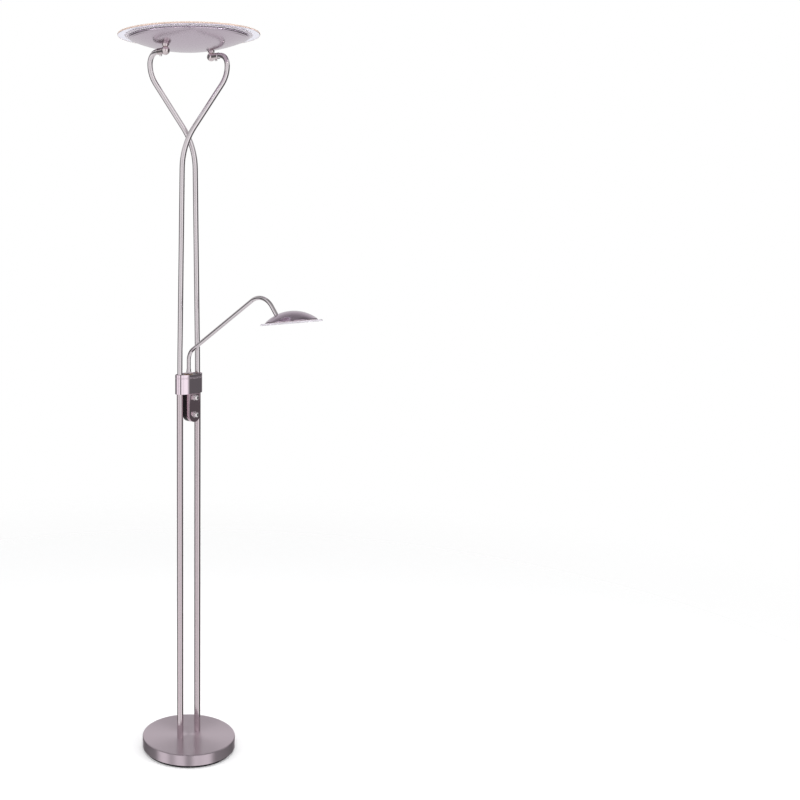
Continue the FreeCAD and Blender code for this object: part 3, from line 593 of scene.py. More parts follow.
SOFT_BLACK = MouldedFinish("soft_black", (0.014, 0.012, 0.015), (0.006, 0.005, 0.007), 0.85,
                           1300.0, 0.00008, sheen=0.05)
SILICONE = MouldedFinish("clear_silicone", (0.78, 0.77, 0.8), (0.7, 0.69, 0.72), 0.5, 600.0, 0.00002)
FIBRE = MouldedFinish("fibre_disc", (0.2, 0.1, 0.06), (0.13, 0.06, 0.035), 0.8, 900.0, 0.00006)
WHITE_BOARD = MouldedFinish("white_board", (0.8, 0.8, 0.78), (0.72, 0.72, 0.7), 0.3, 300.0, 0.00001)
LIGHT_SOURCE = MouldedFinish("light_source", (0.86, 0.7, 0.18), (0.75, 0.58, 0.12), 0.35, 1500.0, 0.00002)

Finish = MetalFinish | MouldedFinish | GlassFinish
Table = dict[Finish, tuple[str, ...]]


@cache
def material_of(finish: Finish) -> bpy.types.Material:
    """Give a finish's material, which is made once."""
    return finish.material()


def put_on(piece: Piece, finish: Finish) -> None:
    """Put a finish on every slot of a piece.

    Args:
        piece: The piece.
        finish: The finish.
    """
    material = material_of(finish)
    if not piece.material_slots:
        piece.data.materials.append(material)
    for slot in piece.material_slots:
        slot.material = material


def open_mesh() -> None:
    """Enter edit mode on the active piece with all of it selected."""
    bpy.ops.object.mode_set(mode="EDIT")
    bpy.ops.mesh.select_all(action="SELECT")


def close_mesh() -> None:
    """Leave edit mode."""
    bpy.ops.object.mode_set(mode="OBJECT")


def clear_selection() -> None:
    """Deselect every object."""
    bpy.ops.object.select_all(action="DESELECT")


def take_up(piece: Piece) -> None:
    """Select one piece alone and make it the active one.

    Args:
        piece: The piece.
    """
    clear_selection()
    piece.select_set(True)
    bpy.context.view_layer.objects.active = piece


def select_none(kind: str) -> None:
    """Deselect the active piece's vertices, edges and faces, and leave edit mode.

    Args:
        kind: Blender's name for what is to be selected next.
    """
    bpy.ops.object.mode_set(mode="EDIT")
    bpy.ops.mesh.select_mode(type=kind)
    bpy.ops.mesh.select_all(action="DESELECT")
    close_mesh()


def select_vertices(piece: Piece, wanted: Callable[[Vector], bool]) -> None:
    """Enter edit mode with the vertices selected that pass a test.

    Args:
        piece: The piece, which is the active object.
        wanted: The test of a vertex's place.
    """
    select_none("VERT")
    for vertex in piece.data.vertices:
        vertex.select = wanted(vertex.co)
    bpy.ops.object.mode_set(mode="EDIT")


def select_faces(piece: Piece, wanted: Callable[[Vector], bool]) -> None:
    """Enter edit mode with the faces selected that pass a test.

    Args:
        piece: The piece, which is the active object.
        wanted: The test of a face's normal.
    """
    select_none("FACE")
    for face in piece.data.polygons:
        face.select = wanted(face.normal)
    bpy.ops.object.mode_set(mode="EDIT")


def turn_piece(name: str, outline: Outline, steps: int) -> Piece:
    """Draw an outline point by point and spin it about the Z axis.

    Args:
        name: The piece's name.
        outline: Distances from the axis and heights, which end on the axis or where they began.
        steps: The number of steps round the axis.

    Returns:
        The piece.
    """
    clear_selection()
    bpy.ops.mesh.primitive_plane_add()
    piece = bpy.context.object
    piece.name = piece.data.name = name
    open_mesh()
    bpy.ops.mesh.merge(type="CENTER")
    bpy.ops.transform.translate(value=(outline[0][0], 0.0, outline[0][1]))
    for here, there in zip(outline, outline[1:]):
        move = (there[0] - here[0], 0.0, there[1] - here[1])
        bpy.ops.mesh.extrude_vertices_move(TRANSFORM_OT_translate={"value": move})
    bpy.ops.mesh.select_all(action="SELECT")
    bpy.ops.mesh.spin(steps=steps, angle=2.0 * math.pi, center=(0.0, 0.0, 0.0), axis=(0.0, 0.0, 1.0))
    bpy.ops.mesh.select_all(action="SELECT")
    bpy.ops.mesh.remove_doubles(threshold=MERGE_DISTANCE)
    bpy.ops.mesh.normals_make_consistent(inside=False)
    close_mesh()
    smooth(piece, SPUN_SMOOTH_ANGLE)
    return piece


def smooth(piece: Piece, angle: float) -> None:
    """Shade a piece smooth, with its sharper edges kept.

    Args:
        piece: The piece.
        angle: The angle from which an edge stays sharp, in radians.
    """
    take_up(piece)
    bpy.ops.object.shade_smooth_by_angle(angle=angle)


def place_piece(piece: Piece, origin: Vector, axis: Vector) -> Piece:
    """Move a piece so that its Z axis lies along a direction, and keep the place in its mesh.

    Args:
        piece: The piece, built round the Z axis.
        origin: Where its own origin goes.
        axis: Where its Z axis points.

    Returns:
        The piece.
    """
    take_up(piece)
    turn = UPWARDS.rotation_difference(axis)
    piece.matrix_world = Matrix.Translation(origin) @ turn.to_matrix().to_4x4()
    bpy.ops.object.transform_apply(location=True, rotation=True, scale=True)
    return piece


def copy_opposite(piece: Piece, name: str) -> Piece:
    """Copy a piece half a turn round the lamp's axis, with a mesh of its own.

    Args:
        piece: The piece.
        name: The copy's name.

    Returns:
        The copy.
    """
    take_up(piece)
    bpy.ops.object.duplicate(linked=False)
    other = bpy.context.object
    other.name = other.data.name = name
    open_mesh()
    bpy.ops.transform.rotate(value=math.pi, orient_axis="Z", center_override=(0.0, 0.0, 0.0))
    close_mesh()
    return other


def copy_node(node: Piece, name: str) -> Piece:
    """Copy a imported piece's mesh into a new piece with whole faces.

    Args:
        node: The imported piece.
        name: The new piece's name.

    Returns:
        The new piece.
    """
    piece = bpy.data.objects.new(name, node.data.copy())
    piece.data.name = name
    piece.data.materials.clear()
    bpy.context.scene.collection.objects.link(piece)
    take_up(piece)
    bpy.ops.mesh.customdata_custom_splitnormals_clear()
    open_mesh()
    bpy.ops.mesh.remove_doubles(threshold=MERGE_DISTANCE)
    bpy.ops.mesh.dissolve_limited(angle_limit=FLAT_ANGLE)
    close_mesh()
    return piece


def round_edges(piece: Piece, width: float, segments: int = 3) -> None:
    """Round a piece's sharp edges.

    Args:
        piece: The piece.
        width: How far the rounding reaches.
        segments: How finely it is rounded.
    """
    take_up(piece)
    bevel = piece.modifiers.new("soft_edges", "BEVEL")
    bevel.width = width
    bevel.segments = segments
    bevel.limit_method = "ANGLE"
    bevel.angle_limit = ROUND_ANGLE
    bpy.ops.object.modifier_apply(modifier=bevel.name)
    smooth(piece, ROUNDED_SMOOTH_ANGLE)


def round_section(radius: float, height: float, size: float, points: int = 16) -> Outline:
    """Give the outline of a ring with a round section.

    Args:
        radius: Distance of the section's middle from the axis.
        height: Its height.
        size: Radius of the section.
        points: Number of points round it.

    Returns:
        The outline, closed back to its first point.
    """
    turns = [2.0 * math.pi * i / points for i in range(points)]
    outline = [(radius + size * math.cos(t), height + size * math.sin(t)) for t in turns]
    return outline + outline[:1]


def middle_of(node: str) -> Vector:
    """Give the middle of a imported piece's box."""
    low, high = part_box(node)
    return (low + high) / 2


def arc(start: int, stop: int, step: int) -> Outline:
    """Give the cosine and sine of the angles along an arc.

    Args:
        start: Its first angle, in degrees.
        stop: Its last angle.
        step: Degrees from one angle to the next.

    Returns:
        The cosine and sine of each.
    """
    turns = [math.radians(degrees) for degrees in range(start, stop + 1, step)]
    return [(math.cos(turn), math.sin(turn)) for turn in turns]


@dataclass
class SubAssembly:
    """Pieces of the lamp that are dressed and built together.

    Attributes:
        nodes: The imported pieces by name.
        steps: Number of steps round a turned piece.
        table: Each finish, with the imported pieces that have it.
    """

    nodes: dict[str, Piece]
    steps: int = 48
    table: ClassVar[Table] = {}

    def dress(self) -> None:
        """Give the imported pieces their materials."""
        for finish, names in self.table.items():
            for name in names:
                put_on(self.nodes[name], finish)

    def build(self) -> list[Piece]:
        """Build the detailed pieces.

        Returns:
            The pieces.
        """
        return []

    def fit(self, piece: Piece, finish: Finish, body: str, slot: str) -> Piece:
        """Dress a detailed piece and let it ride on its body.

        Args:
            piece: The piece, in its place.
            finish: Its finish.
            body: The body that it moves with.
            slot: The record's slot that it belongs to; not used.

        Returns:
            The piece.
        """
        put_on(piece, finish)
        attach(piece, body)
        return piece


@dataclass
class Base(SubAssembly):
    """The weighted foot with its brushed cover.

    Attributes:
        edge_radius: Distance of the rolled lower edge from the axis.
        edge_height: Its height above the floor.
        edge_size: Radius of its round section.
    """

    edge_radius: float = 0.11922
    edge_height: float = 0.00875
    edge_size: float = 0.0007
    steps: int = 128
    table: ClassVar[Table] = {
        SATIN_BASE: ("base_cover",),
        CAST_WEIGHT: ("counterweight",),
        SOFT_BLACK: ("foot_pad", "mains_gland"),
        ZINC: ("base_plate", "base_plate_screws", "tube_studs", "stud_washers", "stud_nuts"),
    }

    def build(self) -> list[Piece]:
        """Build the cover's rolled lower edge.

        Returns:
            The pieces.
        """
        outline = round_section(self.edge_radius, self.edge_height, self.edge_size)
        edge = turn_piece("base_rolled_edge", outline, self.steps)
        # the rolled steel edge carries a painted rose reflection
        return [self.fit(edge, ROSE_PAINTED_REFLECTION, "stand", "satin_steel")]


@dataclass
class Column(SubAssembly):
    """The two lower tubes and the two upper tubes that cross."""

    table: ClassVar[Table] = {
        # the lower tubes' darker, pinker steel is painted shade and reflection tint
        SHADED_LOWER_TUBE: ("lower_tube_right", "lower_tube_left"),
        SATIN_TUBE: ("upper_tube_front", "upper_tube_rear"),
    }


@dataclass
class Clamp(SubAssembly):
    """The oval band with the control box below it.

    Attributes:
        groove_drops: How far below the band's top its fine grooves lie.
        groove_width: Width of a groove.
        groove_depth: Depth of a groove.
        outside: Share of the band's oval, squared, past which a point lies on its outside.
        band_edge: Rounding of the band's edges.
        cover_edge: Rounding of the control cover's edges.
        knob_edge: Rounding of a knob's back edge.
        knob_crown: Height of its domed end.
        knob_grooves: Where the grooves of its grip lie, along its length.
        groove_reach: Half the width of such a groove, which is also its depth.
        trim_inner: Inner radius of a knob's trim ring.
        trim_outer: Its outer radius.
        trim_height: How far it stands off the cover.
    """

    groove_drops: tuple[float, ...] = (0.007, 0.0095)
    groove_width: float = 0.0009
    groove_depth: float = 0.00035
    outside: float = 0.97
    band_edge: float = 0.0005
    cover_edge: float = 0.0008
    knob_edge: float = 0.0006
    knob_crown: float = 0.0026
    knob_grooves: tuple[float, ...] = (0.0024, 0.0038, 0.0052)
    groove_reach: float = 0.0003
    trim_inner: float = 0.00645
    trim_outer: float = 0.0078
    trim_height: float = 0.0006
    table: ClassVar[Table] = {
        POLISHED: ("clamp_band", "control_cover"),
        DIE_CAST: ("clamp_core",),
        BLACK_PLASTIC: ("control_box", "uplighter_dimmer", "reading_dimmer"),
        ZINC: ("clamp_screws", "box_screws", "dimmer_nuts", "uplighter_dimmer_shaft", "reading_dimmer_shaft"),
    }

    def build_band(self) -> Piece:
        """Build the band with rounded edges and fine grooves below its top.

        Returns:
            The band.
        """
        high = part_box("clamp_band")[1]
        band = copy_node(self.nodes["clamp_band"], "band_grooved")
        bpy.ops.object.mode_set(mode="EDIT")
        for drop in self.groove_drops:
            for step in (-0.5, 0.0, 0.5):
                bpy.ops.mesh.select_all(action="SELECT")
                height = high.z - drop + step * self.groove_width
                bpy.ops.mesh.bisect(plane_co=(0.0, 0.0, height), plane_no=(0.0, 0.0, 1.0))
        close_mesh()
        heights = [high.z - drop for drop in self.groove_drops]

        def in_groove(place: Vector) -> bool:
            """Tell whether a point lies at the middle of a groove, on the outside."""
            share = (place.x / high.x) ** 2 + (place.y / high.y) ** 2
            return share > self.outside and any(abs(place.z - height) < SAME_HEIGHT for height in heights)

        select_vertices(band, in_groove)
        bpy.ops.transform.shrink_fatten(value=-self.groove_depth)
        close_mesh()
        round_edges(band, self.band_edge)
        return band

    def build_knob(self, knob: str, body: str) -> Piece:
        """Build a knob with a grooved grip and a domed end.

        Args:
            knob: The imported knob's node.
            body: The body that it turns with.

        Returns:
            The knob.
        """
        low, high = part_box(knob)
        radius, length = (high.z - low.z) / 2, high.y - low.y
        outline = [(0.0, 0.0), (radius - self.knob_edge, 0.0), (radius, self.knob_edge)]
        for place in self.knob_grooves:
            outline += [(radius, place - self.groove_reach), (radius - self.groove_reach, place),
                        (radius, place + self.groove_reach)]
        outline += [(radius * across, length - self.knob_crown * (1.0 - along))
                    for across, along in arc(0, 90, 9)]
        piece = turn_piece(f"{knob}_grooved", outline, self.steps)
        place_piece(piece, Vector((0.0, high.y, middle_of(knob).z)), FRONTWARDS)
        self.fit(piece, BRIGHT, body, "polished_steel")
        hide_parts(knob)
        return piece

    def build_trim(self, knob: str, name: str) -> Piece:
        """Build the bright ring round a knob.

        Args:
            knob: The knob's node.
            name: The ring's name.

        Returns:
            The ring.
        """
        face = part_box("control_cover")[0].y
        middle = (self.trim_inner + self.trim_outer) / 2
        half = (self.trim_outer - self.trim_inner) / 2
        crown = [(middle + half * across, self.trim_height * along) for across, along in arc(0, 180, 15)]
        ring = turn_piece(name, crown + crown[:1], self.steps)
        return place_piece(ring, Vector((0.0, face, middle_of(knob).z)), FRONTWARDS)

    def build(self) -> list[Piece]:
        """Build the band, the cover, the box, the knobs and their rings.

        Returns:
            The pieces.
        """
        band = self.fit(self.build_band(), POLISHED, "stand", "polished_steel")
        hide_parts("clamp_band")
        cover = copy_node(self.nodes["control_cover"], "control_cover_rounded")
        round_edges(cover, self.cover_edge)
        # the cover's darker polished steel is painted shade
        self.fit(cover, SHADED_POLISHED_COVER, "stand", "polished_steel")
        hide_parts("control_cover")
        box = copy_node(self.nodes["control_box"], "control_box_rounded")
        round_edges(box, self.cover_edge)
        self.fit(box, BLACK_PLASTIC, "stand", "black_plastic")
        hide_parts("control_box")
        rings = [self.build_trim("uplighter_knob", "upper_knob_ring"),
                 self.build_trim("reading_knob", "lower_knob_ring")]
        for ring in rings:
            self.fit(ring, BRIGHT, "stand", "polished_steel")
        knobs = [self.build_knob("uplighter_knob", "uplighter_control"),
                 self.build_knob("reading_knob", "reading_control")]
        return [band, cover, box, *rings, *knobs]


@dataclass
class ReadingArm(SubAssembly):
    """The bent arm with its flared collar and its ball."""

    table: ClassVar[Table] = {
        SATIN_TUBE: ("arm_tube", "arm_collar"),
        KNUCKLE: ("head_ball",),
        BRONZE: ("arm_bush",),
        ZINC: ("arm_retainer",),
    }


@dataclass
class ReadingHead(SubAssembly):
    """The small disc head.

    Attributes:
        tilt: How far the head hangs turned about X at rest, in radians.
        frosted_radius: Where the glass's frosting ends.
        edge_radius: Where its polished edge begins.
        bead_radius: Distance of the dome's bead from the head's axis.
        bead_size: Radius of the bead.
        bead_gap: Air between the bead and the glass.
    """

    tilt: float = math.radians(-7.0)
    frosted_radius: float = 0.0605
    edge_radius: float = 0.0695
    bead_radius: float = 0.0591
    bead_size: float = 0.0008
    bead_gap: float = 0.00003
    steps: int = 96
    table: ClassVar[Table] = {
        DIE_CAST: ("ball_socket",),
        ALUMINIUM: ("reading_heat_sink", "reading_glass_posts"),
        WHITE_BOARD: ("reading_board",),
    }

    def dress(self) -> None:
        """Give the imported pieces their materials, with patterns round the head's own axis."""
        super().dress()
        centre = tuple(middle_of("reading_glass"))
        put_on(self.nodes["reading_dome"], replace(DOME, centre=centre, tilt=self.tilt))
        glass = GlassFinish("reading_glass", centre, self.tilt, self.frosted_radius, self.edge_radius,
                            PALE_EDGE)
        put_on(self.nodes["reading_glass"], glass)

    def build(self) -> list[Piece]:
        """Build the bead round the dome's foot.

        Returns:
            The pieces.
        """
        axis = Vector((0.0, -math.sin(self.tilt), math.cos(self.tilt)))
        low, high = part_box("uplighter_glass")  # as thick as this glass, and not tipped
        lift = (high.z - low.z) / 2 + self.bead_size + self.bead_gap
        bead = turn_piece("dome_bead", round_section(self.bead_radius, lift, self.bead_size), self.steps)
        place_piece(bead, middle_of("reading_glass"), axis)
        return [self.fit(bead, KNUCKLE, "reading_head", "satin_steel")]


@dataclass
class Uplighter(SubAssembly):
    """The large disc head.

    Attributes:
        dish_radius: Where the dish's sphere would meet its lip.
        dish_depth: Depth of the sphere's part.
        wall: Thickness of the dish.
        crease_radius: Where the rolled rim begins.
        crease_width: How far the crease before the rim stands out.
        crease_height: How far it rises.
        rim_width: How far the rolled rim stands out.
        frosted_radius: Where the glass's frosting ends.
        edge_radius: Where its polished edge begins.
        outer_points: Number of points from the dish's middle to its crease, on the outside.
        inner_points: The same for the inside.
    """

    dish_radius: float = 0.1445
    dish_depth: float = 0.029
    wall: float = 0.0012
    crease_radius: float = 0.1399
    crease_width: float = 0.0003
    crease_height: float = 0.0004
    rim_width: float = 0.0042
    frosted_radius: float = 0.1535
    edge_radius: float = 0.1704
    outer_points: int = 44
    inner_points: int = 24
    steps: int = 160
    table: ClassVar[Table] = {
        SATIN_DISH: ("uplighter_dish",),
        ALUMINIUM: ("heat_spreader", "spreader_posts"),
        BLACK_PLASTIC: ("uplighter_driver",),
        SILICONE: ("glass_gasket", "glass_posts"),
        WHITE_BOARD: ("uplighter_board",),
        LIGHT_SOURCE: ("board_lights",),
    }

    def dress(self) -> None:
        """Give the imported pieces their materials."""
        super().dress()
        # the glass's edge colour is a painted peach highlight
        glass = GlassFinish("uplighter_glass", (0.0, 0.0, 0.0), 0.0, self.frosted_radius, self.edge_radius,
                            PEACH_HIGHLIGHT_EDGE)
        put_on(self.nodes["uplighter_glass"], glass)

    def dish_outline(self) -> Outline:
        """Give the outline of the spun dish with its rolled rim.

        Returns:
            The outline, from the axis out and back to it.
        """
        low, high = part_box("uplighter_dish")
        sphere = (self.dish_radius ** 2 + self.dish_depth ** 2) / (2 * self.dish_depth)

        def bowl(distance: float, inset: float) -> Span:
            """Give a point of the bowl at a distance from the axis."""
            return distance, low.z + sphere - math.sqrt((sphere - inset) ** 2 - distance ** 2)

        outer = [bowl(self.crease_radius * i / self.outer_points, 0.0) for i in range(self.outer_points + 1)]
        crease, crease_top = outer[-1]
        foot = crease_top + self.crease_height
        middle, half = (high.z + foot) / 2, (high.z - foot) / 2
        rim = [(crease + self.crease_width + self.rim_width * across, middle + half * along)
               for across, along in arc(-90, 90, 12)]
        inside = crease - self.wall
        inner = [bowl(inside * i / self.inner_points, self.wall) for i in range(self.inner_points, -1, -1)]
        return outer + rim + [(inside, high.z)] + inner

    def build(self) -> list[Piece]:
        """Build the dish.

        Returns:
            The pieces.
        """
        dish = turn_piece("dish_rolled_rim", self.dish_outline(), self.steps)
        self.fit(dish, SATIN_DISH, "uplighter_head", "satin_steel")
        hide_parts("uplighter_dish")
        return [dish]


@dataclass
class Knuckles(SubAssembly):
    """The two ball knuckles that carry the large head.

    Attributes:
        mouth_radius: Distance of a collar's bright ring from the tube's axis.
        mouth_size: Radius of that ring's section.
        screw_radius: Radius of a clamping screw's head.
        screw_height: Height of the head.
        screw_neck: Length of the stem above the head.
        screw_edge: Rounding of the screw's edges.
        stem_radius: Radius of the stem.
        flutes: Number of flutes round the head.
        flute_share: Distance of a flute from the screw's axis, as a share of the head's radius.
        shoulder_share: Mean radius of the fluted head, as a share of its radius.
        socket_margin: Width of the face round the socket, as a share of the head's radius.
        socket_depth: Depth of the socket, as a share of the head's height.
    """

    mouth_radius: float = 0.00725
    mouth_size: float = 0.00062
    screw_radius: float = 0.0031
    screw_height: float = 0.0032
    screw_neck: float = 0.0017
    screw_edge: float = 0.00018
    stem_radius: float = 0.002
    flutes: int = 14
    flute_share: float = 0.9
    shoulder_share: float = 0.93
    socket_margin: float = 0.42
    socket_depth: float = 0.4
    table: ClassVar[Table] = {
        KNUCKLE: ("knuckle_lower_right", "knuckle_lower_left", "knuckle_upper_right", "knuckle_upper_left"),
        BRIGHT: ("set_screws",),
        FIBRE: ("friction_discs",),
        ZINC: ("pivot_screws", "wedge_washers", "neck_nuts"),
    }

    def build_mouth_ring(self) -> Piece:
        """Build the bright ring at the right-hand collar's mouth.

        Returns:
            The ring.
        """
        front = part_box("knuckle_lower_right")[0].y
        outline = round_section(self.mouth_radius, self.mouth_size, self.mouth_size, points=12)
        ring = turn_piece("collar_ring_right", outline, self.steps)
        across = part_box("set_screws")[1].x - self.screw_radius
        return place_piece(ring, Vector((across, front, middle_of("friction_discs").z)), FRONTWARDS)

    def build_screw(self) -> Piece:
        """Build the right-hand clamping screw, with a fluted head and a socket in its end.

        Returns:
            The screw.
        """
        low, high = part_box("set_screws")
        clear_selection()
        bpy.ops.mesh.primitive_cylinder_add(vertices=2 * self.flutes, radius=self.screw_radius,
                                            depth=self.screw_height)
        screw = bpy.context.object
        screw.name = screw.data.name = "clamp_screw_fluted"
        step = math.pi / self.flutes

        def in_flute(place: Vector) -> bool:
            """Tell whether a point lies on every second upright edge."""
            return round(math.atan2(place.y, place.x) / step) % 2 == 0

        select_vertices(screw, in_flute)
        share = self.flute_share
        bpy.ops.transform.resize(value=(share, share, 1.0), center_override=(0.0, 0.0, 0.0))
        close_mesh()
        self.step_end(screw, 1.0, self.screw_radius * self.shoulder_share - self.stem_radius, self.screw_neck)
        self.step_end(screw, -1.0, self.screw_radius * self.socket_margin,
                      self.screw_height * self.socket_depth)
        round_edges(screw, self.screw_edge, segments=2)
        across, back = high.x - self.screw_radius, high.y - self.screw_radius
        return place_piece(screw, Vector((across, -back, low.z + self.screw_height / 2)), UPWARDS)

    def step_end(self, screw: Piece, end: float, margin: float, rise: float) -> None:
        """Move the middle of a screw's end upwards, and leave a margin round it.

        Args:
            screw: The screw.
            end: 1 for the top end and -1 for the bottom one.
            margin: Width of what stays.
            rise: How far the middle moves.
        """
        select_faces(screw, lambda normal: normal.z * end > FACING)
        bpy.ops.mesh.inset(thickness=margin)
        bpy.ops.mesh.extrude_region_move(TRANSFORM_OT_translate={"value": (0.0, 0.0, rise)})
        close_mesh()

    def build(self) -> list[Piece]:
        """Build the collars' rings and the clamping screws.

        Returns:
            The pieces.
        """
        rings = [self.build_mouth_ring()]
        rings.append(copy_opposite(rings[0], "collar_ring_left"))
        screw = self.build_screw()
        other = copy_opposite(screw, "clamp_screw_other")
        take_up(screw)
        other.select_set(True)
        bpy.ops.object.join()
        self.fit(screw, BRIGHT, "stand", "polished_steel")
        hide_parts("set_screws")
        return [*(self.fit(ring, BRIGHT, "stand", "polished_steel") for ring in rings), screw]


@dataclass(frozen=True)
class StudioLamp:
    """A soft studio lamp.

    Attributes:
        name: The lamp's name.
        azimuth: Where it stands, in degrees from the camera.
        height: Its height.
        distance: Its level distance from the object's axis.
        size: Its width and height.
        power: Its power in watts.
        aim_height: The height on the object's axis at which it points.
    """

    name: str
    azimuth: float
    height: float
    distance: float
    size: Span
    power: float
    aim_height: ClassVar[float] = 0.9


@dataclass
class Studio:
    """The floor, the backdrop, the lamps and the camera.

    Attributes:
        camera_azimuth: Where the camera stands round the lamp, in degrees from the front.
        camera_distance: Level distance from the lamp's axis.
        camera_height: Height of the camera.
        camera_pitch: How far it looks down, in degrees.
        lens: Focal length, in millimetres.
        shift: How far the picture is moved sideways and upwards.
        sensor: Width of the camera's sensor, in millimetres.
        clip: The nearest and the farthest that the camera sees.
        floor_radius: Radius of the floor.
        floor_sides: Number of its sides.
        floor_roughness: How matt it is.
        floor_grain: Fineness of the drift of its colour.
        floor_detail: Number of finer layers in that drift.
        floor_fade: Where it starts and ends fading into the backdrop, as shares of its radius.
        floor_colours: The two colours that drift through it.
        floor_lift: Light added to the floor for the camera alone, so that it meets the white.
        soft_level: Strength of the surround as a light.
        round_levels: What metal sees round the horizon, as degrees from the camera and levels.
        rise_levels: What it sees above, as the rise of a direction and levels.
        rise_share: How far these take over from what lies round the horizon.
        ground_level: What it sees straight below.
        ground_rise: The rises between which that takes over from what lies round the horizon.
        sky_rise: The rises between which what lies above does.
        lamps: The soft studio lamps.
    """

    camera_azimuth: float = -43.0
    camera_distance: float = 2.75
    camera_height: float = 1.343
    camera_pitch: float = 7.43
    lens: float = 50.13
    shift: Span = (0.264, -0.035)
    sensor: float = 36.0
    clip: Span = (0.05, 60.0)
    floor_radius: float = 3.2
    floor_sides: int = 96
    floor_roughness: float = 0.9
    floor_grain: float = 60.0
    floor_detail: float = 3.0
    floor_fade: Span = (0.15, 0.9)
    floor_colours: tuple[Colour, Colour] = ((0.95, 0.95, 0.955), (0.96, 0.96, 0.965))
    floor_lift: float = 0.1
    soft_level: float = 0.62
    round_levels: tuple[Span, ...] = (
        (-180.0, 0.72), (-158.0, 0.72), (-148.0, 0.12), (-86.0, 0.12), (-72.0, 1.0), (-54.0, 1.0),
        (-46.0, 0.4), (-38.0, 0.5), (-28.0, 1.0), (-12.0, 0.95), (-5.0, 0.25), (5.0, 0.25), (12.0, 1.0),
        (28.0, 0.85), (36.0, 1.0), (52.0, 1.0), (64.0, 0.11), (146.0, 0.11), (158.0, 0.72), (180.0, 0.72))
    rise_levels: tuple[Span, ...] = ((0.0, 0.85), (0.3, 0.8), (0.55, 0.6), (0.8, 0.22), (1.0, 0.16))
    rise_share: float = 0.75
    ground_level: float = 0.72
    ground_rise: Span = (-0.42, -0.7)
    sky_rise: Span = (0.1, 0.4)
    lamps: tuple[StudioLamp, ...] = (
        StudioLamp("side_lamp_left", -68.0, 1.5, 2.6, (0.5, 2.4), 26.0),
        StudioLamp("side_lamp_right", 62.0, 1.6, 2.6, (0.5, 2.4), 30.0),
        StudioLamp("overhead_lamp", 10.0, 3.4, 0.7, (2.2, 2.2), 40.0),
    )

    def direction(self, azimuth: float) -> Vector:
        """Give the level direction at an angle from the front, in degrees."""
        turn = math.radians(azimuth)
        return Vector((math.sin(turn), -math.cos(turn), 0.0))

    def build_camera(self) -> None:
        """Set the camera up."""
        data = bpy.data.cameras.new("camera")
        data.lens = self.lens
        data.sensor_width = self.sensor
        data.shift_x, data.shift_y = self.shift
        data.clip_start, data.clip_end = self.clip
        camera = bpy.data.objects.new("camera", data)
        bpy.context.scene.collection.objects.link(camera)
        ahead = self.direction(self.camera_azimuth)
        camera.location = ahead * self.camera_distance + UPWARDS * self.camera_height
        down = math.radians(self.camera_pitch)
        look = -ahead * math.cos(down) - UPWARDS * math.sin(down)
        camera.rotation_mode = "QUATERNION"
        camera.rotation_quaternion = look.to_track_quat("-Z", "Y")
        bpy.context.scene.camera = camera

    def build_world(self) -> None:
        """Make a world that is white to the camera and glass, a studio to metal, and softer as a light."""
        world = bpy.data.worlds.new("white_surround")
        bpy.context.scene.world = world
        board = NodeBoard(world)
        way = board.add("ShaderNodeTexCoord").outputs["Generated"]
        axes = (self.direction(self.camera_azimuth), self.direction(self.camera_azimuth + 90.0), UPWARDS)
        near, side, height = (board.vector_math("DOT_PRODUCT", way, axis).outputs["Value"] for axis in axes)
        turn = board.span(board.math("ARCTAN2", side, near), (-math.pi, math.pi))
        levels = [(degrees / 360.0 + 0.5, level) for degrees, level in self.round_levels]
        around = board.grey_ramp(turn, levels)
        above = board.grey_ramp(height, self.rise_levels)
        ground, soft, white = ((level,) * 3 for level in (self.ground_level, self.soft_level, 1.0))
        lower = board.blend_colours(board.span(height, self.ground_rise), around, ground)
        studio = board.blend_colours(board.span(height, self.sky_rise, (0.0, self.rise_share)), lower, above)
        rays = board.add("ShaderNodeLightPath")
        seen = board.math("MAXIMUM", rays.outputs["Is Camera Ray"], rays.outputs["Is Transmission Ray"])
        reflected = board.blend_colours(rays.outputs["Is Glossy Ray"], soft, studio)
        background = board.add("ShaderNodeBackground")
        board.feed(background.inputs["Color"], board.blend_colours(seen, reflected, white))
        board.feed(board.output, background.outputs[0])

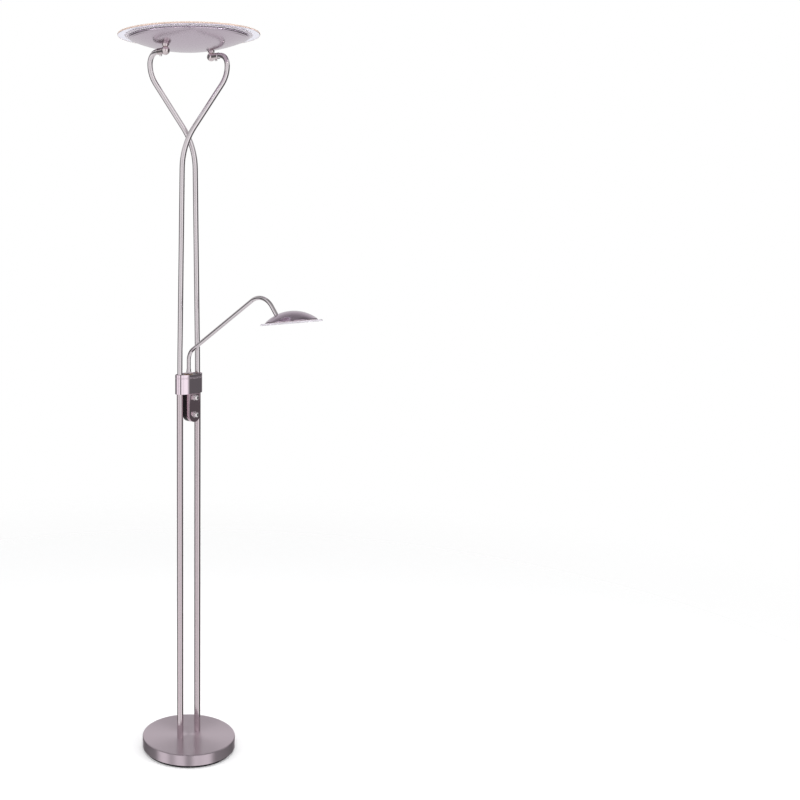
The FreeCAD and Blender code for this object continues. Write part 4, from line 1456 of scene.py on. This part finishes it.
    def build_floor(self) -> Piece:
        """Make a pale floor that fades into the white surround.

        Returns:
            The floor.
        """
        clear_selection()
        bpy.ops.mesh.primitive_circle_add(vertices=self.floor_sides, radius=self.floor_radius,
                                          fill_type="NGON")
        floor = bpy.context.object
        floor.name = "floor"
        floor.visible_glossy = False
        board = NodeBoard(bpy.data.materials.new("pale_floor"))
        grain = board.noise(board.place(), self.floor_grain, self.floor_detail)
        shader = board.surface(Roughness=self.floor_roughness, Specular_IOR_Level=0.0,
                               Base_Color=board.blend_colours(grain, *self.floor_colours))
        seen = board.add("ShaderNodeLightPath").outputs["Is Camera Ray"]
        lift = board.add("ShaderNodeEmission")
        board.feed(lift.inputs["Strength"], board.math("MULTIPLY", seen, self.floor_lift))
        lit = board.add("ShaderNodeAddShader")
        board.feed(lit.inputs[0], shader.outputs[0])
        board.feed(lit.inputs[1], lift.outputs[0])
        start, end = (self.floor_radius * share for share in self.floor_fade)
        fade = board.span(board.radius_from_axis(board.place()), (start, end), kind="SMOOTHSTEP")
        clear = board.add("ShaderNodeBsdfTransparent")
        board.feed(board.output, board.blend_shaders(fade, lit.outputs[0], clear.outputs[0]))
        floor.data.materials.append(board.owner)
        return floor

    def build_lamp(self, lamp: StudioLamp) -> None:
        """Hang a studio lamp.

        Args:
            lamp: The lamp.
        """
        data = bpy.data.lights.new(lamp.name, "AREA")
        data.shape = "RECTANGLE"
        data.size, data.size_y = lamp.size
        data.energy = lamp.power
        light = bpy.data.objects.new(lamp.name, data)
        light.visible_glossy = False
        bpy.context.scene.collection.objects.link(light)
        out = self.direction(self.camera_azimuth + lamp.azimuth)
        light.location = out * lamp.distance + UPWARDS * lamp.height
        light.rotation_mode = "QUATERNION"
        light.rotation_quaternion = (UPWARDS * lamp.aim_height - light.location).to_track_quat("-Z", "Y")

    def build(self) -> None:
        """Build the whole studio."""
        bpy.context.scene.view_settings.view_transform = "Standard"
        self.build_world()
        self.build_camera()
        self.build_floor()
        for lamp in self.lamps:
            self.build_lamp(lamp)
        LOG.info("studio ready")


def build_scene() -> None:
    """Build the lamp's looks and the studio round it."""
    logging.basicConfig(level=logging.INFO, format="%(name)s: %(message)s")
    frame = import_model()
    for sub_assembly in (Base, Column, Clamp, ReadingArm, ReadingHead, Uplighter, Knuckles):
        part = sub_assembly(frame["nodes"])
        part.dress()
        for piece in part.build():
            LOG.info("%s: %s, %d faces", sub_assembly.__name__, piece.name, len(piece.data.polygons))
    Studio().build()


if __name__ == "__main__":
    build_scene()
